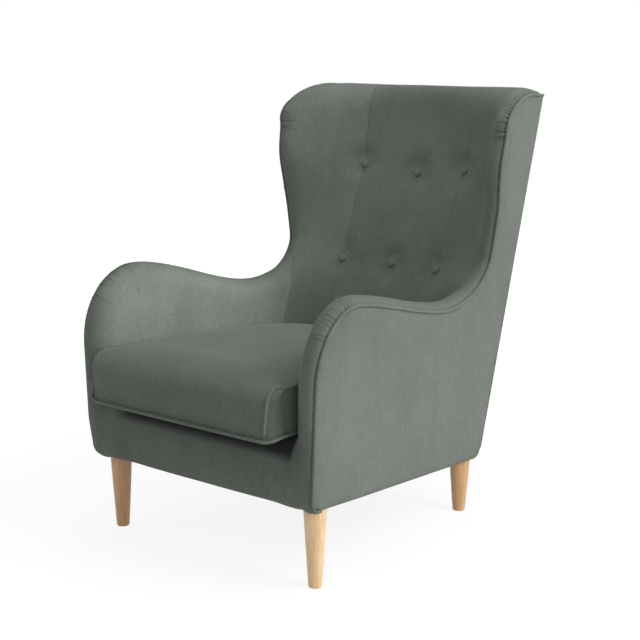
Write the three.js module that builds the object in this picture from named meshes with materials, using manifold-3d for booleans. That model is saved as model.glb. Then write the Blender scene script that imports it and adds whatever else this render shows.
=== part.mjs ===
// Wingback armchair with a loose seat cushion: a wooden frame with springs and straps, foam pads,
// covers with piping, covered buttons and tapered legs. Millimetres, +Z up, the front faces -Y, and
// left and right, -X and +X, are as seen from the front. The origin is on the floor under the middle.
import * as THREE from 'three';
import { mergeVertices } from 'three/addons/utils/BufferGeometryUtils.js';
import Module from 'manifold-3d';

const wasm = await Module();
wasm.setup();

// Clearance between neighbours, how far a cut runs on into the open, and the margin beyond the chair
const fit = 0.3;
const overrun = 20;
const margin = 350;

// Half width of the chair along its rear edge
const rearHalfWidthFoot = 285;
const rearHalfWidthTop = 307;

// Legs
const frontLegSpread = 13;
const frontLegX = rearHalfWidthFoot + frontLegSpread;
const frontLegY = -300;
const rearLegSetIn = 31;
const rearLegX = rearHalfWidthFoot - rearLegSetIn;
const rearLegY = 301;
const legTopRadius = 25.5;
const legFootRadius = 15;
const legFootRounding = 1.5;
const legSides = 24;
const boltRadius = 4;
const boltInLeg = 32;
const boltInBlock = 30;
const boltSides = 12;

// Underside, which falls to the rear
const undersideFrontZ = 177;
const undersideFallShare = 0.0648;
const frameLift = 6;
const railLift = 9;

// Side outline, seen from the side: arm front, arm crest, saddle, wing and top corner
const armFrontY = -349;
const frontFootRadius = 30;
const noseRun = 131;
const noseRise = 155;
const crestZ = 595;
const saddleY = 160;
const saddleZ = 526;
const crestTangent = 78;
const saddleTangent = 100;
const waistY = 331;
const waistRise = 112;
const wingBelly = 15;
const wingBellySkewShare = 1.667;
const topZ = 1003;
const shoulderRise = 78;
const shoulderZ = topZ - shoulderRise;
const topRun = 69.9;
const rearTopDrop = 5;
const rearTopZ = topZ - rearTopDrop;

// Rear edge of the sides, which leans back
const rearFootY = 351;
const rearFootZ = 164;
const rearRakeShare = 0.2436;
const rearCornerRadius = 26;
const cornerSteps = 4;

// Arm splay and wing flare
const armSplayShare = 0.068;
const wingSplayShare = 0.212;
const flareStartShare = 0.5375;
const flareEndShare = 0.7465;
const flareStartZ = flareStartShare * topZ;
const flareEndZ = flareEndShare * topZ;
const flareStartY = 100;
const flareEndY = 300;
const flareColumns = 4;
const flareLevels = 6;

// Covers and pads
const coverThickness = 6;
const foamOnEdge = 14;
const armThickness = 62;
const wingThickness = 55;
const frontCrown = 13;
const armCrown = 20;
const wingCrown = 9;
const topCrown = 16;
const cornerCrown = 8;
const innerEdgeDrop = 22;
const frontEdgeDrop = 26;
const slabInsetShare = 0.9;
const rollDepth = 32;
const rollSides = 9;
const backCoverBulge = 4;
const backCoverRows = 6;
const backCoverColumns = 8;

// Inner back. Thickness of its middle line as shares, at heights that are shares of the top height,
// and the plan corner beside the arms.
const backThickness = 132;
const backThicknessShares = [[0.3, 1], [0.42, 0.957], [0.575, 0.8], [0.688, 0.577], [0.798, 0.393],
  [0.897, 0.32], [1.027, 0.379]];
const seatCornerDepth = 70;
const noseOverlap = 4;
const innerBackColumns = 34;
const innerBackLevels = 19;
const topCapDrop = 17;
const topCapZ = topZ - topCapDrop;
const topCapRise = 33;
const topCapInset = 17;
const topCapSteps = 4;
const seatGapAtJoint = 14;
const seamShare = 0.482;
const seamX = seamShare * rearHalfWidthTop;

// Buttons and their tufts
const upperButtonShare = 0.811;
const upperMiddleDrop = 15;
const upperButtonZ = upperButtonShare * topZ;
const lowerButtonZ = 578;
const upperButtonXShare = 0.4886;
const upperButtonX = upperButtonXShare * rearHalfWidthTop;
const lowerButtonXShare = 0.4947;
const lowerButtonX = lowerButtonXShare * rearHalfWidthFoot;
const buttonRadius = 10.5;
const buttonHeight = 6;
const buttonSeatDepth = 2;
const buttonSides = 14;
const tuftDepth = 11;
const tuftRadius = 27;
const buttonProfileShares = [[1, 0.3], [0.86, 0.68], [0.5, 0.93], [0, 1]];

// Wooden frame
const plyThickness = 18;
const stumpWidth = 60;
const armRailWidth = 50;
const sideRailHeight = 95;
const railThickness = 20;
const topRailHeight = 60;
const lumbarRailZ = 430;
const lumbarRailHeight = 60;
const postWidth = 28;
const postDepthFoot = 60;
const postDepthTop = 22;
const postTaperShare = 0.897;
const postTaperEndZ = postTaperShare * topZ;
const blockHeight = 40;
const blockLength = 66;
const blockSetIn = 24;
const blockReach = 36;

// Where the plates of the side frame and the arm pad end, as shares of a stretch of the edge
const stumpTopShare = 0.66;
const armRailEndShare = 0.45;
const armPadEndShare = 0.6;
const wingPlateEndShare = 0.5;
const jointShare = 0.0015;

// Seat springs, felt and deck
const deckFrontZ = 331;
const deckFallShare = 0.0575;
const deckFrontY = -330;
const deckThickness = 25;
const feltThickness = 4;
const wireRadius = 1.9;
const wireSides = 4;
const springCount = 4;
const springSpacing = 108;
const springHalfWidth = 24;
const springPitch = 44;
const springStepsPerTurn = 4;
const strapCount = 3;
const strapWidth = 50;
const strapThickness = 2;
const firstStrapShare = 0.5285;
const strapSpacingShare = 0.1045;
const firstStrapZ = firstStrapShare * topZ;
const strapSpacing = strapSpacingShare * topZ;

// Front rail cover
const frontCoverY = -338;
const frontCoverThickness = 8;
const frontCoverTopRadius = 28;
const dustCoverThickness = 2;
const dustCoverSetIn = 21;

// Seat cushion
const cushionFrontY = -411;
const cushionRearY = 224;
const cushionRearLean = 26;
const cushionFrontSetIn = 17;
const cushionFrontHalfWidth = rearHalfWidthFoot - cushionFrontSetIn;
const cushionRearSetIn = 59;
const cushionRearHalfWidth = rearHalfWidthFoot - cushionRearSetIn;
const cushionEdgeHeight = 108;
const cushionCrown = 46;
const cushionWaist = 5;
const cushionFrontLean = 12;
const cushionSag = 8;
const cushionNoseRun = 28;
const cushionNoseRise = 30;
const cushionFrontCorner = 24;
const cushionRearCorner = 88;
const cushionCornerSteps = 5;
const cushionSideSteps = 10;
const cushionUndersideInset = 58;
const crownPowerShare = 2.4;
const crownFullnessShare = 0.8;
const cornerShrinkShare = 0.6;
const leastCornerShare = 0.25;
const cushionLevelShares = [0, 0.25, 0.5, 0.72, 0.85, 0.94, 1];
const cushionTopShares = [0.06, 0.16, 0.32, 0.52, 0.75];
const pipingRadius = 3.6;
const pipingSeat = 3.5;
const pipingSides = 6;
const pipingCornerStep = 2;
const zipWidth = 16;
const zipThickness = 3;
const zipSetIn = 45;
const zipHeightShare = 0.4;

// Materials
function material(name, color, roughness, metalness) {
  return new THREE.MeshStandardMaterial({ name, color, roughness, metalness });
}
const coverCloth = material('grey_green_cloth', 0x6c776c, 0.92, 0);
const cushionCloth = material('grey_green_cushion_cloth', 0x647065, 0.92, 0);
const pipingCloth = material('grey_green_piping', 0x77837a, 0.92, 0);
const feltCloth = material('grey_felt', 0x8a8a86, 0.95, 0);
const dustCloth = material('black_dust_cloth', 0x1c1c1c, 0.95, 0);
const strapCloth = material('webbing', 0x4a4640, 0.9, 0);
const legWood = material('light_beech', 0xdcb98c, 0.45, 0);
const frameWood = material('frame_wood', 0xc2a67c, 0.7, 0);
const springSteel = material('spring_steel', 0x6f7276, 0.4, 1);
const zipPlastic = material('zip_plastic', 0x3c423d, 0.6, 0);

// Small number helpers
const mix = (a, b, share) => a + (b - a) * share;
const clamp = (value, low, high) => Math.min(high, Math.max(low, value));
const ease = (share) => share * share * (3 - 2 * share);
const quarterTurn = Math.PI / 2;

// Smooth line through a few places, each given as [at, value]
function along(line, at) {
  const last = line.length - 1;
  let k = 0;
  while (k < last - 1 && at > line[k + 1][0]) {
    k += 1;
  }
  const [start, end] = [line[k], line[k + 1]];
  const before = line[Math.max(k - 1, 0)];
  const after = line[Math.min(k + 2, last)];
  const span = end[0] - start[0];
  const rise = end[1] - start[1];
  const share = (at - start[0]) / span;
  const bendAtStart = ((end[1] - before[1]) / (end[0] - before[0])) * span - rise;
  const bendAtEnd = rise - ((after[1] - start[1]) / (after[0] - start[0])) * span;
  const bend = mix(bendAtStart, bendAtEnd, share);
  return mix(start[1], end[1], share) + share * (1 - share) * bend;
}

// Form of the chair as functions of place
const undersideZ = (y) => undersideFrontZ - undersideFallShare * (y - armFrontY);
const rearY = (z) => rearFootY + rearRakeShare * (z - rearFootZ);
const deckZ = (y) => deckFrontZ - deckFallShare * (y - deckFrontY);
const innerBackY = (z) => rearY(z) - backThickness * along(backThicknessShares, z / topZ);

function sideX(y, z) {
  const rearWidth = mix(rearHalfWidthFoot, rearHalfWidthTop, (z - rearFootZ) / (rearTopZ - rearFootZ));
  const flareHeight = clamp((z - flareStartZ) / (flareEndZ - flareStartZ), 0, 1);
  const flarePlace = ease(clamp((y - flareStartY) / (flareEndY - flareStartY), 0, 1));
  const splay = armSplayShare + (wingSplayShare - armSplayShare) * flareHeight * flarePlace;
  return rearWidth + splay * (rearY(z) - y);
}

function postDepth(z) {
  const share = (z - rearFootZ) / (postTaperEndZ - rearFootZ);
  return mix(postDepthFoot, postDepthTop, clamp(share, 0, 1));
}

const strapY = (z) => rearY(z) - coverThickness - postDepth(z) - strapThickness - 2 * fit;
const padFootZ = deckZ(innerBackY(deckFrontZ) - seatCornerDepth) + 2 * fit;

// The piped edge of a side as points with their outward normal, from the foot of the arm front to the
// top rear corner. Each stretch has its own formula, and place counts the stretches from 0.
function edgeStretches() {
  const crestY = armFrontY + noseRun;
  const waistZ = saddleZ + waistRise;
  const noseFootZ = crestZ - noseRise;
  const cornerZ = undersideZ(armFrontY + frontFootRadius) + frontFootRadius;
  const topY = rearY(rearTopZ) - topRun;
  const ellipse = (y, z, ry, rz, from, to) => (t) => {
    const angle = mix(from, to, t);
    return [y + ry * Math.cos(angle), z + rz * Math.sin(angle)];
  };
  const fall = (t) => {
    const s = 1 - t;
    const share = [s * s * s, 3 * s * s * t, 3 * s * t * t, t * t * t];
    const y = crestY * share[0] + (crestY + crestTangent) * share[1]
      + (saddleY - saddleTangent) * share[2] + saddleY * share[3];
    return [y, crestZ * (share[0] + share[1]) + saddleZ * (share[2] + share[3])];
  };
  const wing = (t) => {
    const belly = Math.sin(Math.PI * t ** wingBellySkewShare) ** 2;
    return [waistY - wingBelly * belly, mix(waistZ, shoulderZ, t)];
  };
  const line = (from, to) => (t) => [mix(from[0], to[0], t), mix(from[1], to[1], t)];
  const armWidth = { drop: [innerEdgeDrop, innerEdgeDrop], thickness: [armThickness, armThickness] };
  const roll = (fromCrown, toCrown, rest) => ({ ...armWidth, crown: [fromCrown, toCrown], ...rest });
  const frontDrop = { drop: [frontEdgeDrop, frontEdgeDrop] };
  const wingWidth = { thickness: [wingThickness, wingThickness] };
  const footY = armFrontY + frontFootRadius;
  return [
    { steps: 4, ...roll(frontCrown, frontCrown, frontDrop),
      at: ellipse(footY, cornerZ, frontFootRadius, frontFootRadius, 3 * quarterTurn, Math.PI) },
    { steps: 3, ...roll(frontCrown, frontCrown, frontDrop),
      at: line([armFrontY, cornerZ], [armFrontY, noseFootZ]) },
    { steps: 8, ...roll(frontCrown, armCrown, { drop: [frontEdgeDrop, innerEdgeDrop] }),
      at: ellipse(crestY, noseFootZ, noseRun, noseRise, Math.PI, quarterTurn) },
    { steps: 7, ...roll(armCrown, armCrown), at: fall },
    { steps: 7, ...roll(armCrown, wingCrown, { thickness: [armThickness, wingThickness] }),
      at: ellipse(saddleY, waistZ, waistY - saddleY, waistRise, -quarterTurn, 0) },
    { steps: 8, ...roll(wingCrown, wingCrown, wingWidth), at: wing },
    { steps: 6, ...roll(wingCrown, topCrown, wingWidth),
      at: ellipse(topY, shoulderZ, topY - waistY, shoulderRise, Math.PI, quarterTurn) },
    { steps: 2, ...roll(topCrown, cornerCrown, wingWidth),
      at: line([topY, topZ], [rearY(rearTopZ), rearTopZ]) },
  ];
}

const stretchOf = { foot: 0, front: 1, nose: 2, fall: 3, rise: 4, wing: 5, shoulder: 6, top: 7 };
const normalStepShare = 0.01;

function sideEdge(fromPlace, toPlace) {
  const points = [];
  edgeStretches().forEach((stretch, number) => {
    const from = clamp(fromPlace - number, 0, 1);
    const to = clamp(toPlace - number, 0, 1);
    const steps = Math.ceil((to - from) * stretch.steps);
    for (let k = points.length > 0 ? 1 : 0; k <= steps && to > from; k += 1) {
      const t = mix(from, to, k / steps);
      const [y, z] = stretch.at(t);
      const before = stretch.at(Math.max(t - normalStepShare, 0));
      const after = stretch.at(Math.min(t + normalStepShare, 1));
      const length = Math.hypot(after[0] - before[0], after[1] - before[1]);
      const normalY = -(after[1] - before[1]) / length;
      const normalZ = (after[0] - before[0]) / length;
      const [crown, drop, thickness] = ['crown', 'drop', 'thickness'].map((name) => mix(...stretch[name], t));
      points.push({ y, z, normalY, normalZ, place: number + t, crown, drop, thickness });
    }
  });
  return points;
}

const wholeEdge = sideEdge(stretchOf.foot, stretchOf.top + 1);
const insetPoint = (point, inset) => [point.y - point.normalY * inset, point.z - point.normalZ * inset];

// Piped edge's forward place at a height of the wing
function wingEdgeY(z) {
  const wing = wholeEdge.filter((point) => point.place >= stretchOf.rise && point.place <= stretchOf.top);
  let k = 0;
  while (k < wing.length - 2 && wing[k + 1].z < z) {
    k += 1;
  }
  const share = clamp((z - wing[k].z) / (wing[k + 1].z - wing[k].z), 0, 1);
  return mix(wing[k].y, wing[k + 1].y, share);
}

// Inner surface of back and wings
function buttonPlaces() {
  const places = [];
  const rows = [['upper', upperButtonX, upperButtonZ, upperMiddleDrop], ['lower', lowerButtonX, lowerButtonZ, 0]];
  for (const [row, sideways, z, middleDrop] of rows) {
    places.push([`${row}_left`, -sideways, z], [`${row}_middle`, 0, z - middleDrop], [`${row}_right`, sideways, z]);
  }
  return places;
}

function tuftAt(x, z) {
  let depth = 0;
  for (const [, buttonX, buttonZ] of buttonPlaces()) {
    const distance = Math.hypot(x - buttonX, z - buttonZ);
    const slope = Math.max(distance - buttonRadius, 0) / tuftRadius;
    depth += tuftDepth * Math.exp(-(slope ** 2));
  }
  return depth;
}

function innerCorner(z) {
  const waistZ = saddleZ + waistRise;
  const middle = innerBackY(z);
  const atArm = middle - seatCornerDepth;
  const atWing = Math.min(wingEdgeY(z) + innerEdgeDrop, middle - noseOverlap);
  const share = ease(clamp((z - saddleZ) / (waistZ - saddleZ), 0, 1));
  const y = mix(atArm, atWing, share);
  return [sideX(y, z) - mix(armThickness, wingThickness, share) + noseOverlap, y];
}

function innerSurface(angle, z) {
  const [cornerX, cornerY] = innerCorner(z);
  const x = cornerX * Math.sin(angle);
  const y = cornerY + (innerBackY(z) - cornerY) * Math.cos(angle);
  return [x, y + tuftAt(x, z)];
}

// Solids and cuts
function closedGeometry(points, faces) {
  let volume = 0;
  for (const [a, b, c] of faces) {
    const [p, q, r] = [points[a], points[b], points[c]];
    volume += p[0] * (q[1] * r[2] - q[2] * r[1]) - p[1] * (q[0] * r[2] - q[2] * r[0])
      + p[2] * (q[0] * r[1] - q[1] * r[0]);
  }
  const outward = volume > 0 ? faces : faces.map(([a, b, c]) => [a, c, b]);
  const geometry = new THREE.BufferGeometry();
  geometry.setAttribute('position', new THREE.Float32BufferAttribute(points.flat(), 3));
  geometry.setIndex(outward.flat());
  return geometry;
}

const capBowShare = 0.001;

function flatCap(ring) {
  const normal = [0, 0, 0];
  ring.forEach((p, k) => {
    const q = ring[(k + 1) % ring.length];
    normal[0] += (p[1] - q[1]) * (p[2] + q[2]);
    normal[1] += (p[2] - q[2]) * (p[0] + q[0]);
    normal[2] += (p[0] - q[0]) * (p[1] + q[1]);
  });
  const size = normal.map(Math.abs);
  const drop = size.indexOf(Math.max(...size));
  const [u, v] = [0, 1, 2].filter((axis) => axis !== drop);
  // A slight bow keeps the points of a straight row in the triangulation
  const bow = capBowShare / margin;
  const flat = ring.map((p) => new THREE.Vector2(p[u] + bow * p[v] * p[v], p[v] + bow * p[u] * p[u]));
  const isTurned = THREE.ShapeUtils.isClockWise(flat);
  const order = ring.map((p, k) => (isTurned ? ring.length - 1 - k : k));
  const triangles = THREE.ShapeUtils.triangulateShape(order.map((k) => flat[k]), []);
  return triangles.map(([a, b, c]) => {
    const face = [order[a], order[b], order[c]];
    return isTurned ? face.reverse() : face;
  });
}

function loft(rings) {
  const count = rings[0].length;
  const points = rings.flat();
  const faces = [];
  for (let r = 0; r + 1 < rings.length; r += 1) {
    for (let k = 0; k < count; k += 1) {
      const a = r * count + k;
      const b = r * count + ((k + 1) % count);
      faces.push([a, b, b + count], [a, b + count, a + count]);
    }
  }
  const last = (rings.length - 1) * count;
  const startCap = flatCap(rings[0]);
  const first = startCap.find((face) => face.includes(0) && face.includes(1));
  const runsForward = (first.indexOf(1) - first.indexOf(0) + 3) % 3 === 1;
  const turn = (face) => [face[0], face[2], face[1]];
  faces.push(...startCap.map((face) => (runsForward ? turn(face) : face)));
  const endCap = flatCap(rings[rings.length - 1]);
  const firstEnd = endCap.find((face) => face.includes(0) && face.includes(1));
  const endForward = (firstEnd.indexOf(1) - firstEnd.indexOf(0) + 3) % 3 === 1;
  const atEnd = endCap.map((face) => (endForward ? face : turn(face)));
  faces.push(...atEnd.map((face) => face.map((k) => k + last)));
  return closedGeometry(points, faces);
}

const steepShare = 0.9;

// Round tube through points: each section is carried on from the last one without twist
function tube(points, radius, sides) {
  const at = points.map((p) => new THREE.Vector3(...p));
  let across = new THREE.Vector3(0, 0, 1);
  const rings = at.map((point, k) => {
    const before = at[Math.max(k - 1, 0)];
    const after = at[Math.min(k + 1, at.length - 1)];
    const ahead = after.clone().sub(before).normalize();
    if (k === 0 && Math.abs(ahead.z) > steepShare) {
      across = new THREE.Vector3(1, 0, 0);
    }
    across = across.clone().addScaledVector(ahead, -across.dot(ahead)).normalize();
    const up = ahead.clone().cross(across);
    const ring = [];
    for (let s = 0; s < sides; s += 1) {
      const angle = (2 * Math.PI * s) / sides;
      const p = point.clone().addScaledVector(across, radius * Math.cos(angle))
        .addScaledVector(up, radius * Math.sin(angle));
      ring.push(p.toArray());
    }
    return ring;
  });
  return loft(rings);
}

function solid(geometry) {
  const bare = geometry.clone();
  bare.deleteAttribute('normal');
  bare.deleteAttribute('uv');
  const merged = mergeVertices(bare);
  const vertProperties = new Float32Array(merged.attributes.position.array);
  const triVerts = new Uint32Array(merged.index.array);
  return new wasm.Manifold(new wasm.Mesh({ numProp: 3, vertProperties, triVerts }));
}

function geometryOf(manifold) {
  const mesh = manifold.getMesh();
  const geometry = new THREE.BufferGeometry();
  geometry.setAttribute('position', new THREE.Float32BufferAttribute(mesh.vertProperties, 3));
  geometry.setIndex(Array.from(mesh.triVerts));
  return geometry;
}

function mirrored(geometry) {
  const source = geometry.index ? geometry : mergeVertices(geometry);
  const position = source.attributes.position;
  const points = [];
  for (let k = 0; k < position.count; k += 1) {
    points.push([-position.getX(k), position.getY(k), position.getZ(k)]);
  }
  const faces = [];
  for (let k = 0; k < source.index.count; k += 3) {
    faces.push([source.index.getX(k), source.index.getX(k + 1), source.index.getX(k + 2)]);
  }
  return closedGeometry(points, faces);
}

function box(low, high) {
  const size = high.map((value, axis) => value - low[axis]);
  const geometry = new THREE.BoxGeometry(...size);
  return geometry.translate(...low.map((value, axis) => value + size[axis] / 2));
}

// Straight prism of an outline in the side view, right across the chair
function prismAcross(points, fromX, toX) {
  const shape = new THREE.Shape(points.map(([y, z]) => new THREE.Vector2(y, z)));
  const geometry = new THREE.ExtrudeGeometry(shape, { depth: toX - fromX, bevelEnabled: false, steps: 1 });
  const turned = new THREE.Matrix4().makeBasis(
    new THREE.Vector3(0, 1, 0), new THREE.Vector3(0, 0, 1), new THREE.Vector3(1, 0, 0));
  return geometry.applyMatrix4(turned).translate(fromX, 0, 0);
}

// Lines of the lattice on which every slab of the side is made, so that neighbours fit face to face
const evenly = (from, to, steps) => [...Array(steps + 1).keys()].map((k) => mix(from, to, k / steps));
const outsideX = frontLegX + margin;
const behindY = rearY(topZ) + margin;
const aboveZ = topZ + margin;
const latticeY = [armFrontY - margin, ...evenly(flareStartY, flareEndY, flareColumns), behindY];
const latticeZ = [-overrun, ...evenly(flareStartZ, flareEndZ, flareLevels), aboveZ];

// Slab that follows the side of the chair between two depths below its surface
function sideSlab(outerDepth, innerDepth) {
  const rings = latticeZ.map((z) => {
    const outer = latticeY.map((y) => [sideX(y, z) - outerDepth, y, z]);
    const inner = latticeY.map((y) => [sideX(y, z) - innerDepth, y, z]).reverse();
    return [...outer, ...inner];
  });
  return solid(loft(rings));
}

function sidePlate(outline, outerDepth, thickness) {
  const prism = solid(prismAcross(outline, 0, outsideX));
  return sideSlab(outerDepth, outerDepth + thickness).intersect(prism);
}

const bothSides = (manifold) => manifold.add(solid(mirrored(geometryOf(manifold))));

// Room between the two sides, less a depth on each
function roomBetween(depth) {
  const rings = latticeZ.map((z) => {
    const right = latticeY.map((y) => [sideX(y, z) - depth, y, z]);
    const left = right.map(([x, y]) => [-x, y, z]).reverse();
    return [...right, ...left];
  });
  return solid(loft(rings));
}

function sideOutline(rearGap) {
  const points = wholeEdge.map((point) => insetPoint(point, pipingSeat));
  const leaning = -Math.atan(rearRakeShare);
  const centreZ = undersideZ(rearFootY) + rearCornerRadius;
  const startZ = centreZ + rearCornerRadius * Math.sin(leaning);
  const centreY = rearY(startZ) - rearGap - rearCornerRadius * Math.cos(leaning);
  const highest = rearTopZ - pipingSeat;
  points[points.length - 1] = [rearY(highest) - rearGap, highest];
  for (const angle of evenly(leaning, -quarterTurn, cornerSteps)) {
    points.push([centreY + rearCornerRadius * Math.cos(angle), centreZ + rearCornerRadius * Math.sin(angle)]);
  }
  return points;
}

function edgeBand(fromPlace, toPlace, outerInset, innerInset) {
  const edge = sideEdge(fromPlace, toPlace);
  const outer = edge.map((point) => insetPoint(point, outerInset));
  const inner = edge.map((point) => insetPoint(point, innerInset)).reverse();
  return [...outer, ...inner];
}

// Padded roll that follows the piped edge: piping line, crown and inner edge of arm and wing
function edgeRoll() {
  const outerDepth = coverThickness + fit;
  const rings = wholeEdge.map((point) => {
    const section = [[outerDepth, -rollDepth]];
    for (let k = 0; k <= rollSides; k += 1) {
      const angle = (Math.PI * k) / rollSides;
      const across = (1 - Math.cos(angle)) / 2;
      const height = point.crown * Math.sin(angle) - point.drop * across ** 3;
      section.push([mix(outerDepth, point.thickness, across), height]);
    }
    section.push([point.thickness - noseOverlap, -rollDepth]);
    return section.map(([depth, height]) => [
      sideX(point.y, point.z) - depth,
      point.y + point.normalY * height,
      point.z + point.normalZ * height,
    ]);
  });
  return solid(loft(rings));
}

// Inner back with its tufts, from arm to arm, as level rings
function hoodRing(z, rear, inset) {
  const front = [];
  for (let k = 0; k <= innerBackColumns; k += 1) {
    const angle = mix(-quarterTurn, quarterTurn, k / innerBackColumns);
    front.push(innerSurface(angle, z));
  }
  const [cornerX, cornerY] = innerCorner(z);
  const outerDepth = coverThickness + fit + inset;
  const ring = front.map(([x, y]) => {
    const towardsSide = Math.abs(x) / cornerX;
    return [x + Math.sign(x) * inset * towardsSide, y + inset, z];
  });
  const cornerPoint = (side, y) => [side * (sideX(y, z) - outerDepth), y, z];
  ring.push(cornerPoint(1, cornerY + inset), cornerPoint(1, rear - inset));
  ring.push(cornerPoint(-1, rear - inset), cornerPoint(-1, cornerY + inset));
  return ring;
}

function hood() {
  const rings = [];
  for (let k = 0; k <= innerBackLevels; k += 1) {
    const z = mix(padFootZ, topCapZ, k / innerBackLevels);
    rings.push(hoodRing(z, strapY(z) - fit, 0));
  }
  for (let k = 0; k <= topCapSteps; k += 1) {
    const angle = (quarterTurn * k) / topCapSteps;
    const z = topCapZ + fit + (topCapRise - fit) * Math.sin(angle);
    const rear = rearY(z) - coverThickness - fit;
    rings.push(hoodRing(z, rear, topCapInset * (1 - Math.cos(angle))));
  }
  return solid(loft(rings));
}

// Wooden frame. Each piece can be made larger all round by a gap, to cut its seat in a pad.
const plyDepth = coverThickness + fit;
const stumpTopPlace = stretchOf.nose + stumpTopShare;
const armRailEndPlace = stretchOf.rise + armRailEndShare;
const blockZ = (legY) => undersideZ(legY) + frameLift;
const wireZ = (y) => deckZ(y) - deckThickness - feltThickness - 2 * fit - wireRadius;
const railTopZ = (y) => wireZ(y) - wireRadius - fit;

function legBlock(legX, legY, low, high, gap) {
  const bottom = blockZ(legY);
  const size = [[legX - blockSetIn - gap, low - gap, bottom - gap],
    [legX + blockLength, high + gap, bottom + blockHeight + gap]];
  return solid(box(...size)).intersect(roomBetween(plyDepth - gap));
}

const frontBlock = (gap) => legBlock(frontLegX, frontLegY, frontCoverY + frontCoverThickness + fit,
  frontLegY + blockReach, gap);
const rearBlock = (gap) => legBlock(rearLegX, rearLegY, rearLegY - blockReach,
  rearY(blockZ(rearLegY)) - plyDepth, gap);

function legBolt(legX, legY, gap) {
  const middle = blockZ(legY);
  const length = boltInLeg + boltInBlock;
  const rod = new THREE.CylinderGeometry(boltRadius + gap, boltRadius + gap, length + 2 * gap, boltSides);
  return rod.rotateX(quarterTurn).translate(legX, legY, middle - boltInLeg + length / 2);
}

function leg(legX, legY, gap) {
  const top = blockZ(legY) - fit;
  const profile = [
    [0, 0],
    [legFootRadius - legFootRounding + gap, 0],
    [legFootRadius + gap, legFootRounding],
    [legTopRadius + gap, top + gap],
    [0, top + gap],
  ];
  const lathe = new THREE.LatheGeometry(profile.map(([r, z]) => new THREE.Vector2(r, z)), legSides);
  return solid(lathe.rotateX(quarterTurn).translate(legX, legY, 0));
}

// A plate of the side frame. The room that it needs in a pad is open to the outside.
function framePlate(outline, gap) {
  const outer = gap > 0 ? -overrun : plyDepth;
  return sidePlate(outline, outer, plyDepth + plyThickness + gap - outer);
}

function armStump(gap) {
  const band = edgeBand(stretchOf.front, stumpTopPlace + jointShare * Math.sign(gap), foamOnEdge - gap,
    foamOnEdge + stumpWidth + gap);
  const plate = framePlate(band, gap);
  const foot = blockZ(frontLegY) + blockHeight + fit - gap;
  return plate.subtract(solid(box([0, armFrontY, 0], [outsideX, 0, foot])));
}

function armRail(gap) {
  const overlap = 4 * jointShare * Math.sign(gap);
  const band = edgeBand(stumpTopPlace + jointShare - overlap, armRailEndPlace + overlap,
    foamOnEdge - gap, foamOnEdge + armRailWidth + gap);
  return framePlate(band, gap);
}

function wingPlate(gap) {
  const edge = sideEdge(armRailEndPlace + jointShare, stretchOf.top + wingPlateEndShare);
  const frontOfPost = (z) => [rearY(z) - plyDepth - postDepth(z) - fit, z];
  const points = edge.map((point) => insetPoint(point, foamOnEdge - gap))
    .filter(([y, z]) => y < frontOfPost(z)[0] - fit);
  const lowest = insetPoint(edge[0], foamOnEdge + armRailWidth + gap);
  const heights = [topZ - foamOnEdge, postTaperEndZ, lowest[1] - gap];
  points.push(...heights.map(frontOfPost), lowest);
  return framePlate(points, gap);
}

function sideRail() {
  const front = armFrontY + foamOnEdge + stumpWidth + fit;
  const rear = rearY(rearFootZ) - plyDepth - postDepthFoot - fit;
  const foot = (y) => undersideZ(y) + railLift;
  const outline = [[front, foot(front)], [rear, foot(rear)], [rear, foot(rear) + sideRailHeight],
    [front, foot(front) + sideRailHeight]];
  const plate = sidePlate(outline, plyDepth, plyThickness);
  return plate.subtract(frontBlock(fit)).subtract(rearBlock(fit));
}

function backPost(gap) {
  const foot = blockZ(rearLegY) + blockHeight + fit - gap;
  const rings = [foot, flareStartZ, flareEndZ, postTaperEndZ, topCapZ - fit + gap].map((z) => {
    const rear = rearY(z) - plyDepth;
    const outer = sideX(rear, z) - plyDepth;
    const front = rear - postDepth(z) - gap;
    return [[outer, front, z], [outer, rear + gap, z], [outer - postWidth - gap, rear + gap, z],
      [outer - postWidth - gap, front, z]];
  });
  return solid(loft(rings));
}

function crossRail(outline, depth) {
  return solid(prismAcross(outline, -outsideX, outsideX)).intersect(roomBetween(depth));
}

function frontRail(gap) {
  const front = frontCoverY + frontCoverThickness + fit - gap;
  const rear = front + railThickness + 2 * gap;
  const lift = gap > 0 ? -overrun : railLift;
  const outline = [[front, undersideZ(front) + lift], [rear, undersideZ(rear) + lift],
    [rear, railTopZ(rear) + gap], [front, railTopZ(front) + gap]];
  return crossRail(outline, plyDepth + plyThickness + fit - gap);
}

function leaningRail(foot, height, depthFromRear, thickness) {
  const corner = (z, depth) => [rearY(z) - plyDepth - depth, z];
  return [corner(foot, depthFromRear), corner(foot, depthFromRear + thickness),
    corner(foot + height, depthFromRear + thickness), corner(foot + height, depthFromRear)];
}

const betweenPosts = plyDepth + postWidth + fit;

function rearRail() {
  const atDepth = (y, depth) => y - plyDepth - depth;
  const footY = rearY(undersideZ(rearFootY) + railLift);
  const topY = rearY(railTopZ(rearFootY));
  const foot = (y) => [y, undersideZ(y) + railLift];
  const top = (y) => [y, railTopZ(y)];
  const outline = [foot(atDepth(footY, 0)), foot(atDepth(footY, railThickness)),
    top(atDepth(topY, railThickness)), top(atDepth(topY, 0))];
  return crossRail(outline, betweenPosts).subtract(bothSides(rearBlock(fit).add(backPost(fit))));
}

function topRail(gap) {
  const outline = leaningRail(topCapZ - fit - topRailHeight - gap, topRailHeight + 2 * gap, -gap,
    railThickness + 2 * gap);
  return crossRail(outline, betweenPosts - gap).subtract(bothSides(backPost(fit - gap)));
}

function lumbarRail() {
  const depth = postDepth(lumbarRailZ + lumbarRailHeight) - railThickness;
  const outline = leaningRail(lumbarRailZ, lumbarRailHeight, depth, railThickness);
  return crossRail(outline, betweenPosts).subtract(bothSides(backPost(fit)));
}

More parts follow.
